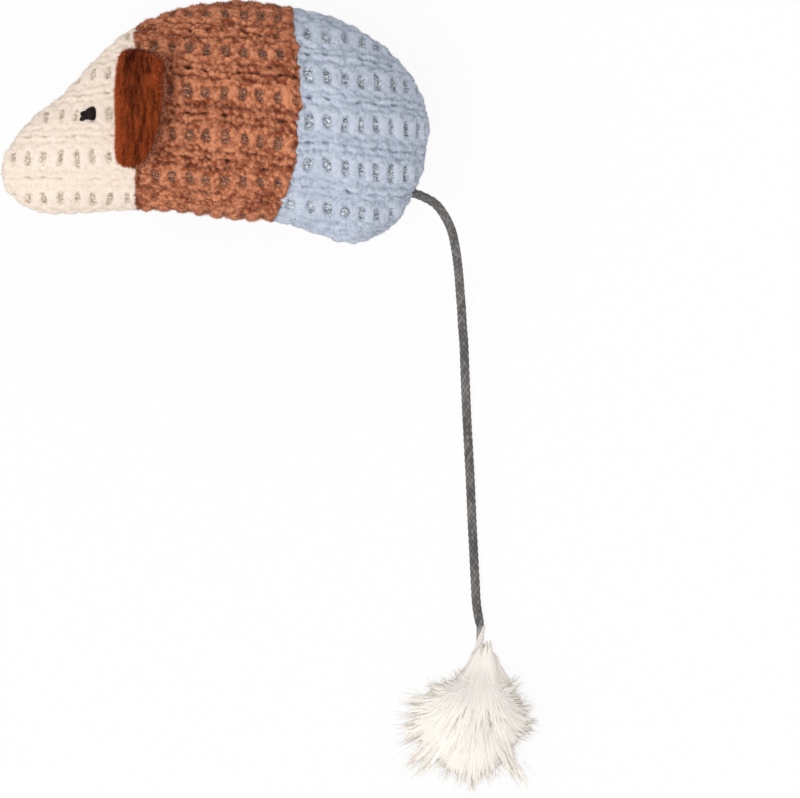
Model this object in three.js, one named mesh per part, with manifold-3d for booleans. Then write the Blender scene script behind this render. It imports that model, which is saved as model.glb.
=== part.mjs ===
// Catnip mouse: a stuffed toy sewn from three knitted colours, with velvet ears and a cord tail.
// Millimetres. +X runs from nose to rump, +Y from belly to back, +Z up from the floor.
// The mouse lies on its right side, so its left side faces up.
import * as THREE from "three";
import { mergeVertices } from "three/addons/utils/BufferGeometryUtils.js";
import Module from "manifold-3d";

const wasm = await Module();
wasm.setup();

// Stuffed body
const BODY_LENGTH = 94;
const BODY_HEIGHT = 53;
const BODY_THICKNESS = 44;
const BODY_ROUNDNESS = 2.1;
const REST_FLAT_DEPTH = 0.5;
const KNIT_THICKNESS = 2.4;
const RUMP_SEAM_BOW = 4;
const RUMP_SEAM_SKEW = 0.45;

// Knit: rows of open windows between plump pads run from nose to rump. A window's column and row are
// its place on the flank in X and Y. Pitch is from window to window along a row.
const MIDDLE_KNIT = {
  column: 2.5, row: 5.6, slope: 0.085, pitch: 3.95, rowSpacing: 9.8, width: 1.5, height: 2.3,
};
const RUMP_KNIT = {
  column: 28.9, row: -0.9, slope: 0.075, pitch: 4.25, rowSpacing: 10.05, width: 1.56, height: 3.2,
};
const WINDOW_DEPTH = 1.2;
const WINDOW_TO_SEAM = 1;
const ROWS_FLATTENED = 0.65;

// Sewing
const CLEARANCE = 0.3;
const SEAM_THREAD_DIAMETER = 0.6;
const SEAM_THREAD_END_GAP = 1.6;

// Tail
const CORD_DIAMETER = 2.1;
const TAIL_STATION = 11.75;
const TAIL_DROOP_DEG = 20;
const TAIL_ROOT_PROUD = 1;
const KNOT_SIZE = 2.2;
const KNOT_SETBACK = 1.7;

// Tuft
const TUFT_NECK_LENGTH = 3.6;
const TUFT_NECK_DIAMETER = 2;
const TUFT_LENGTH = 32;
const TUFT_WIDTH = 29;
const TUFT_DEPTH = 14;
const TUFT_TURN_DEG = 6;

// Ears
const EAR_WIDTH = 25;
const EAR_SEWN_WIDTH = 12;
const EAR_SWEEP = 4.5;
const RIGHT_EAR_LEAN = -8;
const EAR_LAYER_THICKNESS = 0.8;
const EAR_LINING_SHOWS = 0.7;
const EAR_BACK_OFFSET = 1.75;

// Eyes
const EYE_LENGTH = 4;
const EYE_HEIGHT = 2.9;
const EYE_PROUD = 1.1;
const EYE_STATION = 3.71;
const EYE_ANGLE_DEG = 74.5;

// Filling
const STUFFING_PARTING = 6.5;
const SACHET_DIAMETER = 26;
const SACHET_HEM = 2.5;
const SACHET_DEPTH = 9;
const SACHET_CLOTH = 0.5;

const MID_Z = BODY_THICKNESS / 2 - REST_FLAT_DEPTH;
const CORD_RADIUS = CORD_DIAMETER / 2;
const THREAD_RADIUS = SEAM_THREAD_DIAMETER / 2;

// The profile is drawn as matching stations on the back line and the belly line, nose to rump,
// as shares of the body's length and height. The third number is the share of the half thickness.
const BACK_STATIONS = [
  [0, 0.295, 0], [0.012, 0.373, 0.2], [0.066, 0.502, 0.39], [0.15, 0.622, 0.57], [0.23, 0.776, 0.7],
  [0.315, 0.892, 0.82], [0.423, 0.971, 0.93], [0.554, 1, 1], [0.683, 0.971, 1], [0.798, 0.917, 0.97],
  [0.897, 0.809, 0.85], [0.965, 0.676, 0.63], [0.997, 0.527, 0.34], [1, 0.452, 0],
];
const BELLY_STATIONS = [
  [0, 0.295], [0.016, 0.212], [0.08, 0.133], [0.164, 0.124], [0.244, 0.133],
  [0.317, 0.137], [0.423, 0.129], [0.535, 0.102], [0.636, 0.091], [0.737, 0.041],
  [0.822, 0], [0.911, 0.066], [0.977, 0.257], [1, 0.452],
];
const NECK_STATION = 5;
const RUMP_STATION = 8;
const LAST_STATION = BACK_STATIONS.length - 1;

function outlineCurve(stations) {
  const points = stations.map(([along, up], i) => new THREE.Vector3(
    (along - 0.5) * BODY_LENGTH,
    (up - 0.5) * BODY_HEIGHT,
    (BACK_STATIONS[i][2] * BODY_THICKNESS) / 2,
  ));
  return new THREE.CatmullRomCurve3(points, false, "catmullrom", 0.5);
}

const backLine = outlineCurve(BACK_STATIONS);
const bellyLine = outlineCurve(BELLY_STATIONS);

// A point of the stuffed body. Angle 0 is the back, 90 degrees the left flank and 180 the belly.
// The rump seam bows to the rear on each flank, more toward the belly.
function surfacePoint(station, angle) {
  const back = backLine.getPoint(station / LAST_STATION);
  const belly = bellyLine.getPoint(station / LAST_STATION);
  const squash = (value) => Math.sign(value) * Math.abs(value) ** (2 / BODY_ROUNDNESS);
  const up = squash(Math.cos(angle));
  const side = squash(Math.sin(angle));
  const nearSeam = Math.exp(-(((station - RUMP_STATION) / 1.8) ** 2));
  const bow = RUMP_SEAM_BOW * nearSeam * side * side * (1 - RUMP_SEAM_SKEW * up);
  return new THREE.Vector3(
    THREE.MathUtils.lerp(belly.x, back.x, (1 + up) / 2) + bow,
    THREE.MathUtils.lerp(belly.y, back.y, (1 + up) / 2),
    MID_Z + Math.max(back.z, 0) * side,
  );
}

function alongStep(station, angle) {
  const step = 0.01;
  const from = THREE.MathUtils.clamp(station, step, LAST_STATION - step);
  return surfacePoint(from + step, angle).sub(surfacePoint(from - step, angle)).divideScalar(2 * step);
}

function outward(station, angle) {
  const step = 0.02;
  const clear = THREE.MathUtils.clamp(station, 0.02, LAST_STATION - 0.02);
  const around = surfacePoint(clear, angle + step).sub(surfacePoint(clear, angle - step));
  return around.cross(alongStep(clear, angle)).normalize();
}

function skinPoint(station, angle, depth) {
  return surfacePoint(station, angle).addScaledVector(outward(station, angle), -depth);
}

function axisPoint(station) {
  return surfacePoint(station, 0).add(surfacePoint(station, Math.PI)).divideScalar(2);
}

// Moves a seam line along the body by a distance in millimetres.
function shifted(station, angle, distance) {
  return station + distance / alongStep(station, angle).length();
}

function toGeometry(points, faces) {
  const geometry = new THREE.BufferGeometry();
  geometry.setAttribute("position", new THREE.Float32BufferAttribute(points.flatMap((p) => p.toArray()), 3));
  geometry.setIndex(faces);
  return geometry;
}

// Wraps a skin round a list of levels. A level is a point, or a function from angle to point.
// A list that starts and ends on rings closes on itself.
function wrap(levels, sides) {
  const points = [];
  const faces = [];
  const rings = levels.map((level) => {
    const first = points.length;
    if (level.isVector3) {
      points.push(level);
      return Array(sides + 1).fill(first);
    }
    for (let j = 0; j < sides; j++) points.push(level((j / sides) * 2 * Math.PI));
    return Array.from({ length: sides + 1 }, (_, j) => first + (j % sides));
  });
  if (!levels[0].isVector3) rings.push(rings[0]);
  for (let i = 0; i + 1 < rings.length; i++) {
    const near = rings[i];
    const far = rings[i + 1];
    for (let j = 0; j < sides; j++) {
      if (near[j] !== near[j + 1]) faces.push(near[j], near[j + 1], far[j + 1]);
      if (far[j] !== far[j + 1]) faces.push(near[j], far[j + 1], far[j]);
    }
  }
  return toGeometry(points, faces);
}

// A slab of even sheet between two grids of points.
function slab(face, rows, columns) {
  const points = [];
  const faces = [];
  const at = (side, i, j) => (side * (rows + 1) + i) * (columns + 1) + j;
  for (let side = 0; side < 2; side++) {
    for (let i = 0; i <= rows; i++) {
      for (let j = 0; j <= columns; j++) points.push(face(side, i / rows, (2 * j) / columns - 1));
    }
  }
  const quad = (a, b, c, d) => faces.push(a, b, c, a, c, d);
  for (let i = 0; i < rows; i++) {
    for (let j = 0; j < columns; j++) {
      quad(at(0, i, j), at(0, i, j + 1), at(0, i + 1, j + 1), at(0, i + 1, j));
      quad(at(1, i, j), at(1, i + 1, j), at(1, i + 1, j + 1), at(1, i, j + 1));
    }
    quad(at(0, i, 0), at(0, i + 1, 0), at(1, i + 1, 0), at(1, i, 0));
    quad(at(0, i + 1, columns), at(0, i, columns), at(1, i, columns), at(1, i + 1, columns));
  }
  for (let j = 0; j < columns; j++) {
    quad(at(0, 0, j + 1), at(0, 0, j), at(1, 0, j), at(1, 0, j + 1));
    quad(at(0, rows, j), at(0, rows, j + 1), at(1, rows, j + 1), at(1, rows, j));
  }
  return toGeometry(points, faces);
}

function tube(points, radius, steps, sides) {
  const ring = Array.from({ length: sides }, (_, i) => {
    const angle = (i / sides) * 2 * Math.PI;
    return new THREE.Vector2(radius * Math.cos(angle), radius * Math.sin(angle));
  });
  const extrudePath = new THREE.CatmullRomCurve3(points, false, "catmullrom", 0.5);
  return new THREE.ExtrudeGeometry(new THREE.Shape(ring), { steps, extrudePath, bevelEnabled: false });
}

function solidOf(geometry) {
  const plain = new THREE.BufferGeometry();
  plain.setAttribute("position", geometry.getAttribute("position"));
  if (geometry.index) plain.setIndex(geometry.index);
  const joined = mergeVertices(plain, 1e-4);
  const corners = joined.index.array;
  const triVerts = Uint32Array.from(corners.filter((_, i) => {
    const [a, b, c] = corners.slice(i - (i % 3), i - (i % 3) + 3);
    return a !== b && b !== c && c !== a;
  }));
  const vertProperties = Float32Array.from(joined.getAttribute("position").array);
  return new wasm.Manifold(new wasm.Mesh({ numProp: 3, vertProperties, triVerts }));
}

function geometryOf(solid) {
  const { vertProperties, triVerts } = solid.getMesh();
  const geometry = new THREE.BufferGeometry();
  geometry.setAttribute("position", new THREE.BufferAttribute(Float32Array.from(vertProperties), 3));
  geometry.setIndex(new THREE.BufferAttribute(Uint32Array.from(triVerts), 1));
  return geometry;
}

function box(low, high) {
  const size = high.clone().sub(low);
  const centre = low.clone().add(high).divideScalar(2);
  return solidOf(new THREE.BoxGeometry(...size.toArray()).translate(...centre.toArray()));
}

const mouse = new THREE.Group();
mouse.name = "catnip_mouse";

function piece(name, geometry, color, roughness) {
  geometry.deleteAttribute("normal");
  geometry.deleteAttribute("uv");
  geometry.computeVertexNormals();
  const material = new THREE.MeshStandardMaterial({ color, roughness, metalness: 0 });
  const mesh = new THREE.Mesh(geometry, material);
  mesh.name = name;
  mouse.add(mesh);
  return mesh;
}

const CREAM = 0xf4e6d6;
const BROWN = 0xb06f50;
const BLUE = 0xbcc5d6;
const VELVET = 0x6e2f1b;
const LINING = 0xa0684c;
const EYE_BLACK = 0x2a2022;
const CORD_GREY = 0x504e4e;
const FUR_WHITE = 0xf1e9e1;
const FIBRE_WHITE = 0xf2f0ec;
const SACHET_CLOTH_COLOUR = 0xe6dfca;
const CATNIP_GREEN = 0x77824a;

const SIDES = 28;
const THREAD_SIDES = 4;

function spaced(from, to, count) {
  return Array.from({ length: count + 1 }, (_, i) => THREE.MathUtils.lerp(from, to, i / count));
}

// Stations of the rings from a seam line to a rounded end, closer together near the end.
function towardEnd(seam, end, count) {
  return spaced(1, 0, count).slice(0, -1).map((k) => end + (seam - end) * k ** 1.35);
}

// A ring of the skin at a depth. An edge ring stays half a clearance short of its seam.
const ring = (station, depth, short = 0) => (angle) =>
  skinPoint(short ? shifted(station, angle, (short * CLEARANCE) / 2) : station, angle, depth);

// The tail leaves through the outline seam, low on the rump.
const tailHole = surfacePoint(TAIL_STATION, Math.PI);
const droop = THREE.MathUtils.degToRad(TAIL_DROOP_DEG);
const tailOut = new THREE.Vector3(Math.cos(droop), -Math.sin(droop), 0);
const onTail = (distance) => tailHole.clone().addScaledVector(tailOut, distance);
const knotMiddle = -(KNIT_THICKNESS + CLEARANCE + KNOT_SETBACK + KNOT_SIZE / 2 + CORD_RADIUS);
const knotNear = knotMiddle + KNOT_SIZE / 2 + CORD_RADIUS;
const tailPivot = onTail(TAIL_ROOT_PROUD + CLEARANCE + CORD_RADIUS);

// Seam threads lie in the middle of the cloth's thickness.
const seamDepth = KNIT_THICKNESS / 2;

function seamArc(station, side) {
  const margin = (SEAM_THREAD_END_GAP * 2) / BODY_HEIGHT;
  return spaced(margin * 1.2, Math.PI - margin * 1.2, 18).map((a) => skinPoint(station, side * a, seamDepth));
}

function outlinePath() {
  const gap = CORD_RADIUS + SEAM_THREAD_END_GAP;
  const above = shifted(TAIL_STATION, Math.PI, gap);
  const below = shifted(TAIL_STATION, Math.PI, -gap);
  const belly = (from, to, count) => spaced(from, to, count).map((t) => skinPoint(t, Math.PI, seamDepth));
  const back = spaced(LAST_STATION - 0.4, 0.4, 32).map((t) => skinPoint(t, 0, seamDepth));
  return [...belly(above, LAST_STATION - 0.4, 2), ...back, ...belly(0.4, below, 28)];
}

const seams = {
  neck_seam_thread_left: { path: seamArc(NECK_STATION, 1), steps: 18, color: CREAM },
  neck_seam_thread_right: { path: seamArc(NECK_STATION, -1), steps: 18, color: CREAM },
  rump_seam_thread_left: { path: seamArc(RUMP_STATION, 1), steps: 18, color: BROWN },
  rump_seam_thread_right: { path: seamArc(RUMP_STATION, -1), steps: 18, color: BROWN },
  outline_seam_thread: { path: outlinePath(), steps: 54, color: CREAM },
};

const seamChannels = Object.values(seams).map(({ path, steps }) =>
  solidOf(tube(path, THREAD_RADIUS + CLEARANCE, steps, THREAD_SIDES)));
const borePath = [onTail(knotMiddle), onTail(TAIL_ROOT_PROUD + CORD_DIAMETER)];
const tailBore = solidOf(tube(borePath, CORD_RADIUS + CLEARANCE, 1, 12));

// Knitted panels: a cup for the head, a sleeve for the middle and a cup for the rump, each cut into
// a left and a right half along the profile. The right half is flat where the mouse lies on it.
const headRings = towardEnd(NECK_STATION, 0, 8);
const middleRings = spaced(NECK_STATION, RUMP_STATION, 6).slice(1, -1);
const rumpRings = towardEnd(RUMP_STATION, LAST_STATION, 9);

function cupToNose(depth, inner) {
  const outside = [surfacePoint(0, 0).setX(-BODY_LENGTH / 2 + depth)];
  outside.push(...headRings.slice(1).reverse().map((t) => ring(t, depth)));
  outside.push(ring(NECK_STATION, depth, -1));
  const inside = [ring(NECK_STATION, inner, -1), ...headRings.slice(1).map((t) => ring(t, inner))];
  inside.push(surfacePoint(0, 0).setX(-BODY_LENGTH / 2 + inner));
  return solidOf(wrap([...outside, ...inside], SIDES));
}

function sleeve(inner) {
  const outside = [ring(NECK_STATION, 0, 1), ...middleRings.map((t) => ring(t, 0))];
  outside.push(ring(RUMP_STATION, 0, -1));
  const inside = [ring(RUMP_STATION, inner, -1), ...middleRings.map((t) => ring(t, inner)).reverse()];
  inside.push(ring(NECK_STATION, inner, 1));
  return solidOf(wrap([...outside, ...inside], SIDES));
}

function cupToRump(inner) {
  const pole = (depth) => surfacePoint(LAST_STATION, 0).setX(BODY_LENGTH / 2 - depth);
  const inside = [pole(inner), ...rumpRings.slice(1).map((t) => ring(t, inner)).reverse()];
  inside.push(ring(RUMP_STATION, inner, 1));
  const outside = [ring(RUMP_STATION, 0, 1), ...rumpRings.slice(1).map((t) => ring(t, 0)), pole(0)];
  return solidOf(wrap([...inside, ...outside], SIDES));
}

const far = BODY_LENGTH + BODY_THICKNESS;
const halves = {
  left: box(new THREE.Vector3(-far, -far, MID_Z + CLEARANCE / 2), new THREE.Vector3(far, far, far)),
  right: box(new THREE.Vector3(-far, -far, 0), new THREE.Vector3(far, far, MID_Z - CLEARANCE / 2)),
};

// The windows' places on the left half of a panel. Columns keep their pitch along the flank. Rows keep
// their spacing between how far round the body they are and how high they look from the side.
// The nearest point of a fine lattice over the panel stands for each place.
const FLANK_STEPS = 400;
const LATTICE_RINGS = 90;
const LATTICE_QUARTER = 60;
const LATTICE_MISS = 0.4;

function windowPlaces(knit, from, to) {
  const flank = spaced(0, LAST_STATION, FLANK_STEPS).map((t) => surfacePoint(t, Math.PI / 2));
  const stepTo = (x) => (run, p, i) => run + (i && p.x <= x ? p.distanceTo(flank[i - 1]) : 0);
  const runAt = (x) => flank.reduce(stepTo(x), 0);
  const firstRun = runAt(knit.column);
  const half = LATTICE_QUARTER;
  const angles = spaced(0, Math.PI, 2 * half);
  const stations = spaced(from, to, LATTICE_RINGS);
  const rings = stations.map((t) => angles.map((a) => surfacePoint(t, a)));
  const places = new Map();
  rings.forEach((points, i) => {
    const girth = points.map(() => 0);
    for (let j = 1; j < points.length; j++) girth[j] = girth[j - 1] + points[j].distanceTo(points[j - 1]);
    points.forEach((point, j) => {
      const unrolled = girth[half] - girth[j] + points[half].y;
      const level = THREE.MathUtils.lerp(unrolled, point.y, ROWS_FLATTENED);
      const along = (runAt(point.x) - firstRun) / knit.pitch;
      const across = (level + knit.slope * (point.x - knit.column) - knit.row) / knit.rowSpacing;
      const column = Math.round(along);
      const row = Math.round(across);
      const miss = Math.hypot((along - column) * knit.pitch, (across - row) * knit.rowSpacing);
      const toSeam = Math.min(point.distanceTo(rings[0][j]), point.distanceTo(rings.at(-1)[j]));
      const toHem = Math.min(girth[j], girth.at(-1) - girth[j]);
      const clear = Math.min(toSeam - knit.width / 2, toHem - knit.height / 2);
      const best = places.get(`${column} ${row}`)?.miss ?? LATTICE_MISS;
      if (miss < best && clear > THREAD_RADIUS + CLEARANCE + WINDOW_TO_SEAM) {
        places.set(`${column} ${row}`, { miss, station: stations[i], angle: angles[j] });
      }
    });
  });
  return [...places.values()];
}

function windows(knit, from, to) {
  const block = new THREE.BoxGeometry(knit.width, knit.height, 2 * WINDOW_DEPTH);
  return windowPlaces(knit, from, to).flatMap(({ station, angle }) => [angle, -angle].map((turn) => {
    const out = outward(station, turn);
    const along = new THREE.Vector3(1, -knit.slope, 0).projectOnPlane(out).normalize();
    const place = new THREE.Matrix4().makeBasis(along, out.clone().cross(along), out);
    return solidOf(block.clone().applyMatrix4(place.setPosition(surfacePoint(station, turn))));
  }));
}

function panels(name, shell, color, openings = []) {
  const cuts = [...seamChannels, tailBore, wasm.Manifold.compose(openings)];
  const pierced = cuts.reduce((rest, cut) => rest.subtract(cut), shell);
  for (const [side, half] of Object.entries(halves)) {
    piece(`${name}_panel_${side}`, geometryOf(pierced.intersect(half)), color, 0.95);
  }
}

panels("head", cupToNose(0, KNIT_THICKNESS), CREAM);
panels("middle", sleeve(KNIT_THICKNESS), BROWN, windows(MIDDLE_KNIT, NECK_STATION, RUMP_STATION));
panels("rump", cupToRump(KNIT_THICKNESS), BLUE, windows(RUMP_KNIT, RUMP_STATION, LAST_STATION));

for (const [name, { path, steps, color }] of Object.entries(seams)) {
  piece(name, tube(path, THREAD_RADIUS, steps, THREAD_SIDES), color, 0.8);
}

// Tail root through the seam, and the knot that holds it inside.
const rootPath = [onTail(knotNear + CLEARANCE), onTail(TAIL_ROOT_PROUD)];
piece("tail_root", tube(rootPath, CORD_RADIUS, 1, 12), CORD_GREY, 0.7);
const tightened = CORD_RADIUS * 0.88;
const knotForm = new THREE.TorusKnotGeometry(KNOT_SIZE, tightened, 36, 5, 2, 3);
const knot = piece("tail_knot", knotForm, CORD_GREY, 0.7);
knot.position.copy(onTail(knotMiddle));
knot.quaternion.setFromUnitVectors(new THREE.Vector3(0, 0, 1), tailOut);

// Round catnip sachet: two dished cloths hemmed together over the dried leaf.
function lathed(profile, segments) {
  const points = profile.map(([radius, along]) => new THREE.Vector2(radius, along));
  return new THREE.LatheGeometry(points, segments).rotateZ(-Math.PI / 2);
}

function lens(radius, height, count) {
  return spaced(0, 1, count).map((k) => [radius * k, height * (1 - k * k)]);
}

const SACHET_SIDES = 14;
const sachetRadius = SACHET_DIAMETER / 2;
const pocketRadius = sachetRadius - SACHET_HEM;
const parting = axisPoint(STUFFING_PARTING);

// The dished half of the sachet at a height over the parting, out to the edge of its hem.
function dished(height, edge) {
  const dome = lens(pocketRadius, SACHET_DEPTH / 2 - SACHET_CLOTH - CLEARANCE / 2, 5);
  return [...dome.map(([r, a]) => [r, a + height]), [edge, height]];
}

function sachetCloth(sign) {
  const under = dished(CLEARANCE / 2, sachetRadius);
  const over = dished(CLEARANCE / 2 + SACHET_CLOTH, sachetRadius);
  const cloth = lathed([...under, ...over.reverse()], SACHET_SIDES);
  return sign > 0 ? cloth : cloth.rotateY(Math.PI);
}

const leafTop = SACHET_DEPTH / 2 - SACHET_CLOTH - CLEARANCE * 1.5;
const leafEdge = pocketRadius - CLEARANCE * 4;
const leaf = lens(leafEdge, leafTop, 5);
const leafProfile = [...leaf.map(([r, a]) => [r, -a]), ...leaf.slice(0, -1).reverse()];
piece("sachet_cloth_front", sachetCloth(-1), SACHET_CLOTH_COLOUR, 0.9).position.copy(parting);
piece("sachet_cloth_rear", sachetCloth(1), SACHET_CLOTH_COLOUR, 0.9).position.copy(parting);
piece("dried_catnip", lathed(leafProfile, SACHET_SIDES), CATNIP_GREEN, 1).position.copy(parting);

// Two wads of stuffing meet at the sachet and fill the knitted skin.
const fill = KNIT_THICKNESS + CLEARANCE;
const room = dished(CLEARANCE * 1.5 + SACHET_CLOTH, sachetRadius + CLEARANCE);
const roomProfile = [...room.map(([r, a]) => [r, -a]), ...room.reverse()];
const sachetRoom = solidOf(lathed(roomProfile, SACHET_SIDES).translate(...parting.toArray()));
const knotRadius = KNOT_SIZE * 1.5 + CORD_RADIUS + CLEARANCE;
const knotRoom = solidOf(tube([onTail(knotMiddle * 2 - knotNear - CLEARANCE), onTail(0)], knotRadius, 1, 12));

const frontRings = [...headRings.slice(1).reverse(), NECK_STATION];
frontRings.push(...middleRings.filter((t) => t < STUFFING_PARTING));
const frontLevels = [surfacePoint(0, 0).setX(-BODY_LENGTH / 2 + fill)];
frontLevels.push(...frontRings.map((t) => ring(t, fill)), ring(STUFFING_PARTING, fill, -1));
frontLevels.push(axisPoint(STUFFING_PARTING).setX(parting.x - CLEARANCE / 2));
piece("stuffing_front", geometryOf(solidOf(wrap(frontLevels, SIDES)).subtract(sachetRoom)), FIBRE_WHITE, 1);

const rearRings = [...middleRings.filter((t) => t > STUFFING_PARTING), RUMP_STATION, ...rumpRings.slice(1)];
const rearLevels = [axisPoint(STUFFING_PARTING).setX(parting.x + CLEARANCE / 2)];
rearLevels.push(ring(STUFFING_PARTING, fill, 1), ...rearRings.map((t) => ring(t, fill)));
rearLevels.push(surfacePoint(LAST_STATION, 0).setX(BODY_LENGTH / 2 - fill));
const rearWad = solidOf(wrap(rearLevels, SIDES)).subtract(sachetRoom).subtract(knotRoom).subtract(tailBore);
piece("stuffing_rear", geometryOf(rearWad), FIBRE_WHITE, 1);

// Each ear is a flap of velvet with a lining, sewn into the neck seam along a short base.
// The path of the flap runs from the sewn base to the free edge, in X and Z from that base.
// The left ear bends forward and folds back over itself. The right ear lies flat under the head, leaning
// toward the belly, so the head hides it from above.
// The lining reaches a little past the velvet round the free edge.
const EAR_WIDEST = 0.6;
const EAR_FREE_SHARE = 0.41;
const LEFT_EAR_PATH = [[0, 1.1], [-2.2, 2.6], [-2.8, 4.3], [-1.5, 6], [1.4, 7.1], [5.6, 7.3]];
const RIGHT_EAR_PATH = [[0, -1.5], [-4, -0.9], [-8, 0], [-12, 1.2], [-15, 2.4]];

function earHalfWidth(share) {
  const full = EAR_WIDTH / 2;
  const sewn = EAR_SEWN_WIDTH / 2;
  if (share < EAR_WIDEST) return sewn + ((full - sewn) * (1 - Math.cos((share / EAR_WIDEST) * Math.PI))) / 2;
  return full * Math.sqrt(1 - ((share - EAR_WIDEST) / EAR_FREE_SHARE) ** 2.6);
}

function earLayer(path, base, lean, inner, outer, reach = 0) {
  const points = path.map(([x, z]) => new THREE.Vector3(base.x + x, base.y, base.z + z));
  const curve = new THREE.CatmullRomCurve3(points, false, "catmullrom", 0.5);
  return slab((side, share, across) => {
    const tangent = curve.getTangent(share);
    const away = new THREE.Vector3(-tangent.z, 0, tangent.x);
    const towardTip = Math.max(0, (share - EAR_WIDEST) / (1 - EAR_WIDEST));
    const middle = base.y + lean * share ** 1.5 + EAR_SWEEP * towardTip ** 3.5;
    const point = curve.getPoint(share).addScaledVector(away, side ? outer : inner);
    point.addScaledVector(tangent, reach * towardTip);
    return point.setY(middle + across * (earHalfWidth(share) + reach * towardTip));
  }, 16, 6);
}

const earBase = (side) => {
  const seam = surfacePoint(NECK_STATION, (side * Math.PI) / 2);
  return seam.setY(seam.y + EAR_BACK_OFFSET);
};
const layerNear = CLEARANCE / 2;
const layerFar = layerNear + EAR_LAYER_THICKNESS;
const leftLining = earLayer(LEFT_EAR_PATH, earBase(1), 0, -layerFar, -layerNear, EAR_LINING_SHOWS);
const rightBase = earBase(-1);
const rightLayer = (inner, outer, reach) =>
  earLayer(RIGHT_EAR_PATH, rightBase, RIGHT_EAR_LEAN, inner, outer, reach);
piece("left_ear_lining", leftLining, LINING, 0.85);
piece("left_ear_velvet", earLayer(LEFT_EAR_PATH, earBase(1), 0, layerNear, layerFar), VELVET, 0.8);
piece("right_ear_lining", rightLayer(layerNear, layerFar, EAR_LINING_SHOWS), LINING, 0.85);
piece("right_ear_velvet", rightLayer(-layerFar, -layerNear), VELVET, 0.8);

// Embroidered eyes: one full knot of stitches with two tails toward the nose.
function eyeStitches(side) {
  const bead = (length, height, x, y, turn) => {
    const ball = new THREE.SphereGeometry(1, 10, 6).scale(length / 2, height / 2, EYE_PROUD);
    return solidOf(ball.rotateZ(side * turn).translate(x, side * y, 0));
  };
  const knotOfStitches = bead(EYE_LENGTH * 0.62, EYE_HEIGHT, EYE_LENGTH * 0.19, 0, 0.3);
  const upperTail = bead(EYE_LENGTH * 0.6, EYE_HEIGHT * 0.36, -EYE_LENGTH * 0.16, EYE_HEIGHT * 0.05, -0.1);
  const lowerTail = bead(EYE_LENGTH * 0.66, EYE_HEIGHT * 0.36, -EYE_LENGTH * 0.17, -EYE_HEIGHT * 0.3, 0.15);
  const seat = box(new THREE.Vector3(-far, -far, CLEARANCE), new THREE.Vector3(far, far, far));
  return geometryOf(knotOfStitches.add(upperTail).add(lowerTail).intersect(seat));
}

for (const [name, side] of [["left_eye", 1], ["right_eye", -1]]) {
  const angle = side * THREE.MathUtils.degToRad(EYE_ANGLE_DEG);
  const out = outward(EYE_STATION, angle);
  const along = new THREE.Vector3(1, 0, 0).addScaledVector(out, -out.x).normalize();
  const across = out.clone().cross(along);
  const eye = piece(name, eyeStitches(side), EYE_BLACK, 0.6);
  eye.position.copy(surfacePoint(EYE_STATION, angle));
  eye.quaternion.setFromRotationMatrix(new THREE.Matrix4().makeBasis(along, across, out));
}

// Free tail: straight out of the seam, down to the floor and along it to the tuft.
const CORD_ROUTE = [
  [48.5, -17.9, 21.1], [50.4, -20.2, 19.9], [52, -23.3, 17.7], [52.9, -26.7, 14.7], [53.5, -30.4, 11.4],
  [53.9, -34, 8.3], [54.2, -37.7, 5.6], [54.5, -41.3, 3.4], [54.7, -44.9, 1.9], [55, -48.4, 1.2],
  [55.3, -55.8, 1.05], [55.7, -65.4, 1.05], [56.4, -78.2, 1.05], [56.9, -89.5, 1.05], [57.5, -100.8, 1.05],
  [57.8, -106.3, 1.05], [58.4, -110.2, 1.05], [58.8, -112, 1.05],
].map((point) => new THREE.Vector3(...point));
const cordTube = solidOf(tube([tailPivot, ...CORD_ROUTE], CORD_RADIUS, 36, 8));
const roundEnd = (at) => solidOf(new THREE.SphereGeometry(CORD_RADIUS, 8, 6).translate(...at.toArray()));
const tuftPivot = CORD_ROUTE.at(-1);
const cordSolid = cordTube.add(roundEnd(tailPivot)).add(roundEnd(tuftPivot));
piece("tail_cord", geometryOf(cordSolid), CORD_GREY, 0.7);

// Tuft of fur, pinched to a neck at the cord's end and lying on the floor.
const tuft = new THREE.Group();
tuft.position.copy(tuftPivot);
tuft.rotation.z = THREE.MathUtils.degToRad(-TUFT_TURN_DEG);
mouse.add(tuft);
const neckStart = CORD_RADIUS + CLEARANCE;
const neckEnd = neckStart + TUFT_NECK_LENGTH;
const neckRadius = TUFT_NECK_DIAMETER / 2;
const neckPoints = [[0, -neckEnd], [neckRadius, -neckEnd], [neckRadius * 0.8, -(neckStart + neckEnd) / 2]];
neckPoints.push([neckRadius, -neckStart], [0, -neckStart]);
const neck = new THREE.LatheGeometry(neckPoints.map(([r, a]) => new THREE.Vector2(r, a)), 10);
tuft.add(piece("tuft_neck", neck, FUR_WHITE, 0.9));

const puffStart = neckEnd + CLEARANCE;
const PUFF_WIDEST = 0.5;
const PUFF_PROFILE = [
  [0, 0], [0.09, 0.005], [0.36, 0.12], [0.72, 0.26], [0.94, 0.39], [1, PUFF_WIDEST], [0.95, 0.66],
  [0.8, 0.82], [0.48, 0.94], [0, 1],
];
const puffPoint = ([r, a]) => new THREE.Vector2((r * TUFT_WIDTH) / 2, -puffStart - a * TUFT_LENGTH);
const puff = new THREE.LatheGeometry(PUFF_PROFILE.map(puffPoint).reverse(), 18);
const flatten = TUFT_DEPTH / TUFT_WIDTH;
const lift = (TUFT_DEPTH / 2 - CORD_RADIUS) / (TUFT_LENGTH * PUFF_WIDEST);
const shape = puff.getAttribute("position");
for (let i = 0; i < shape.count; i++) {
  const along = -shape.getY(i) - puffStart;
  const rise = Math.min(along, TUFT_LENGTH * PUFF_WIDEST) * lift;
  shape.setZ(i, Math.max(shape.getZ(i) * flatten + rise, -CORD_RADIUS));
}
tuft.add(piece("tail_tuft", puff, FUR_WHITE, 1));

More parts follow.
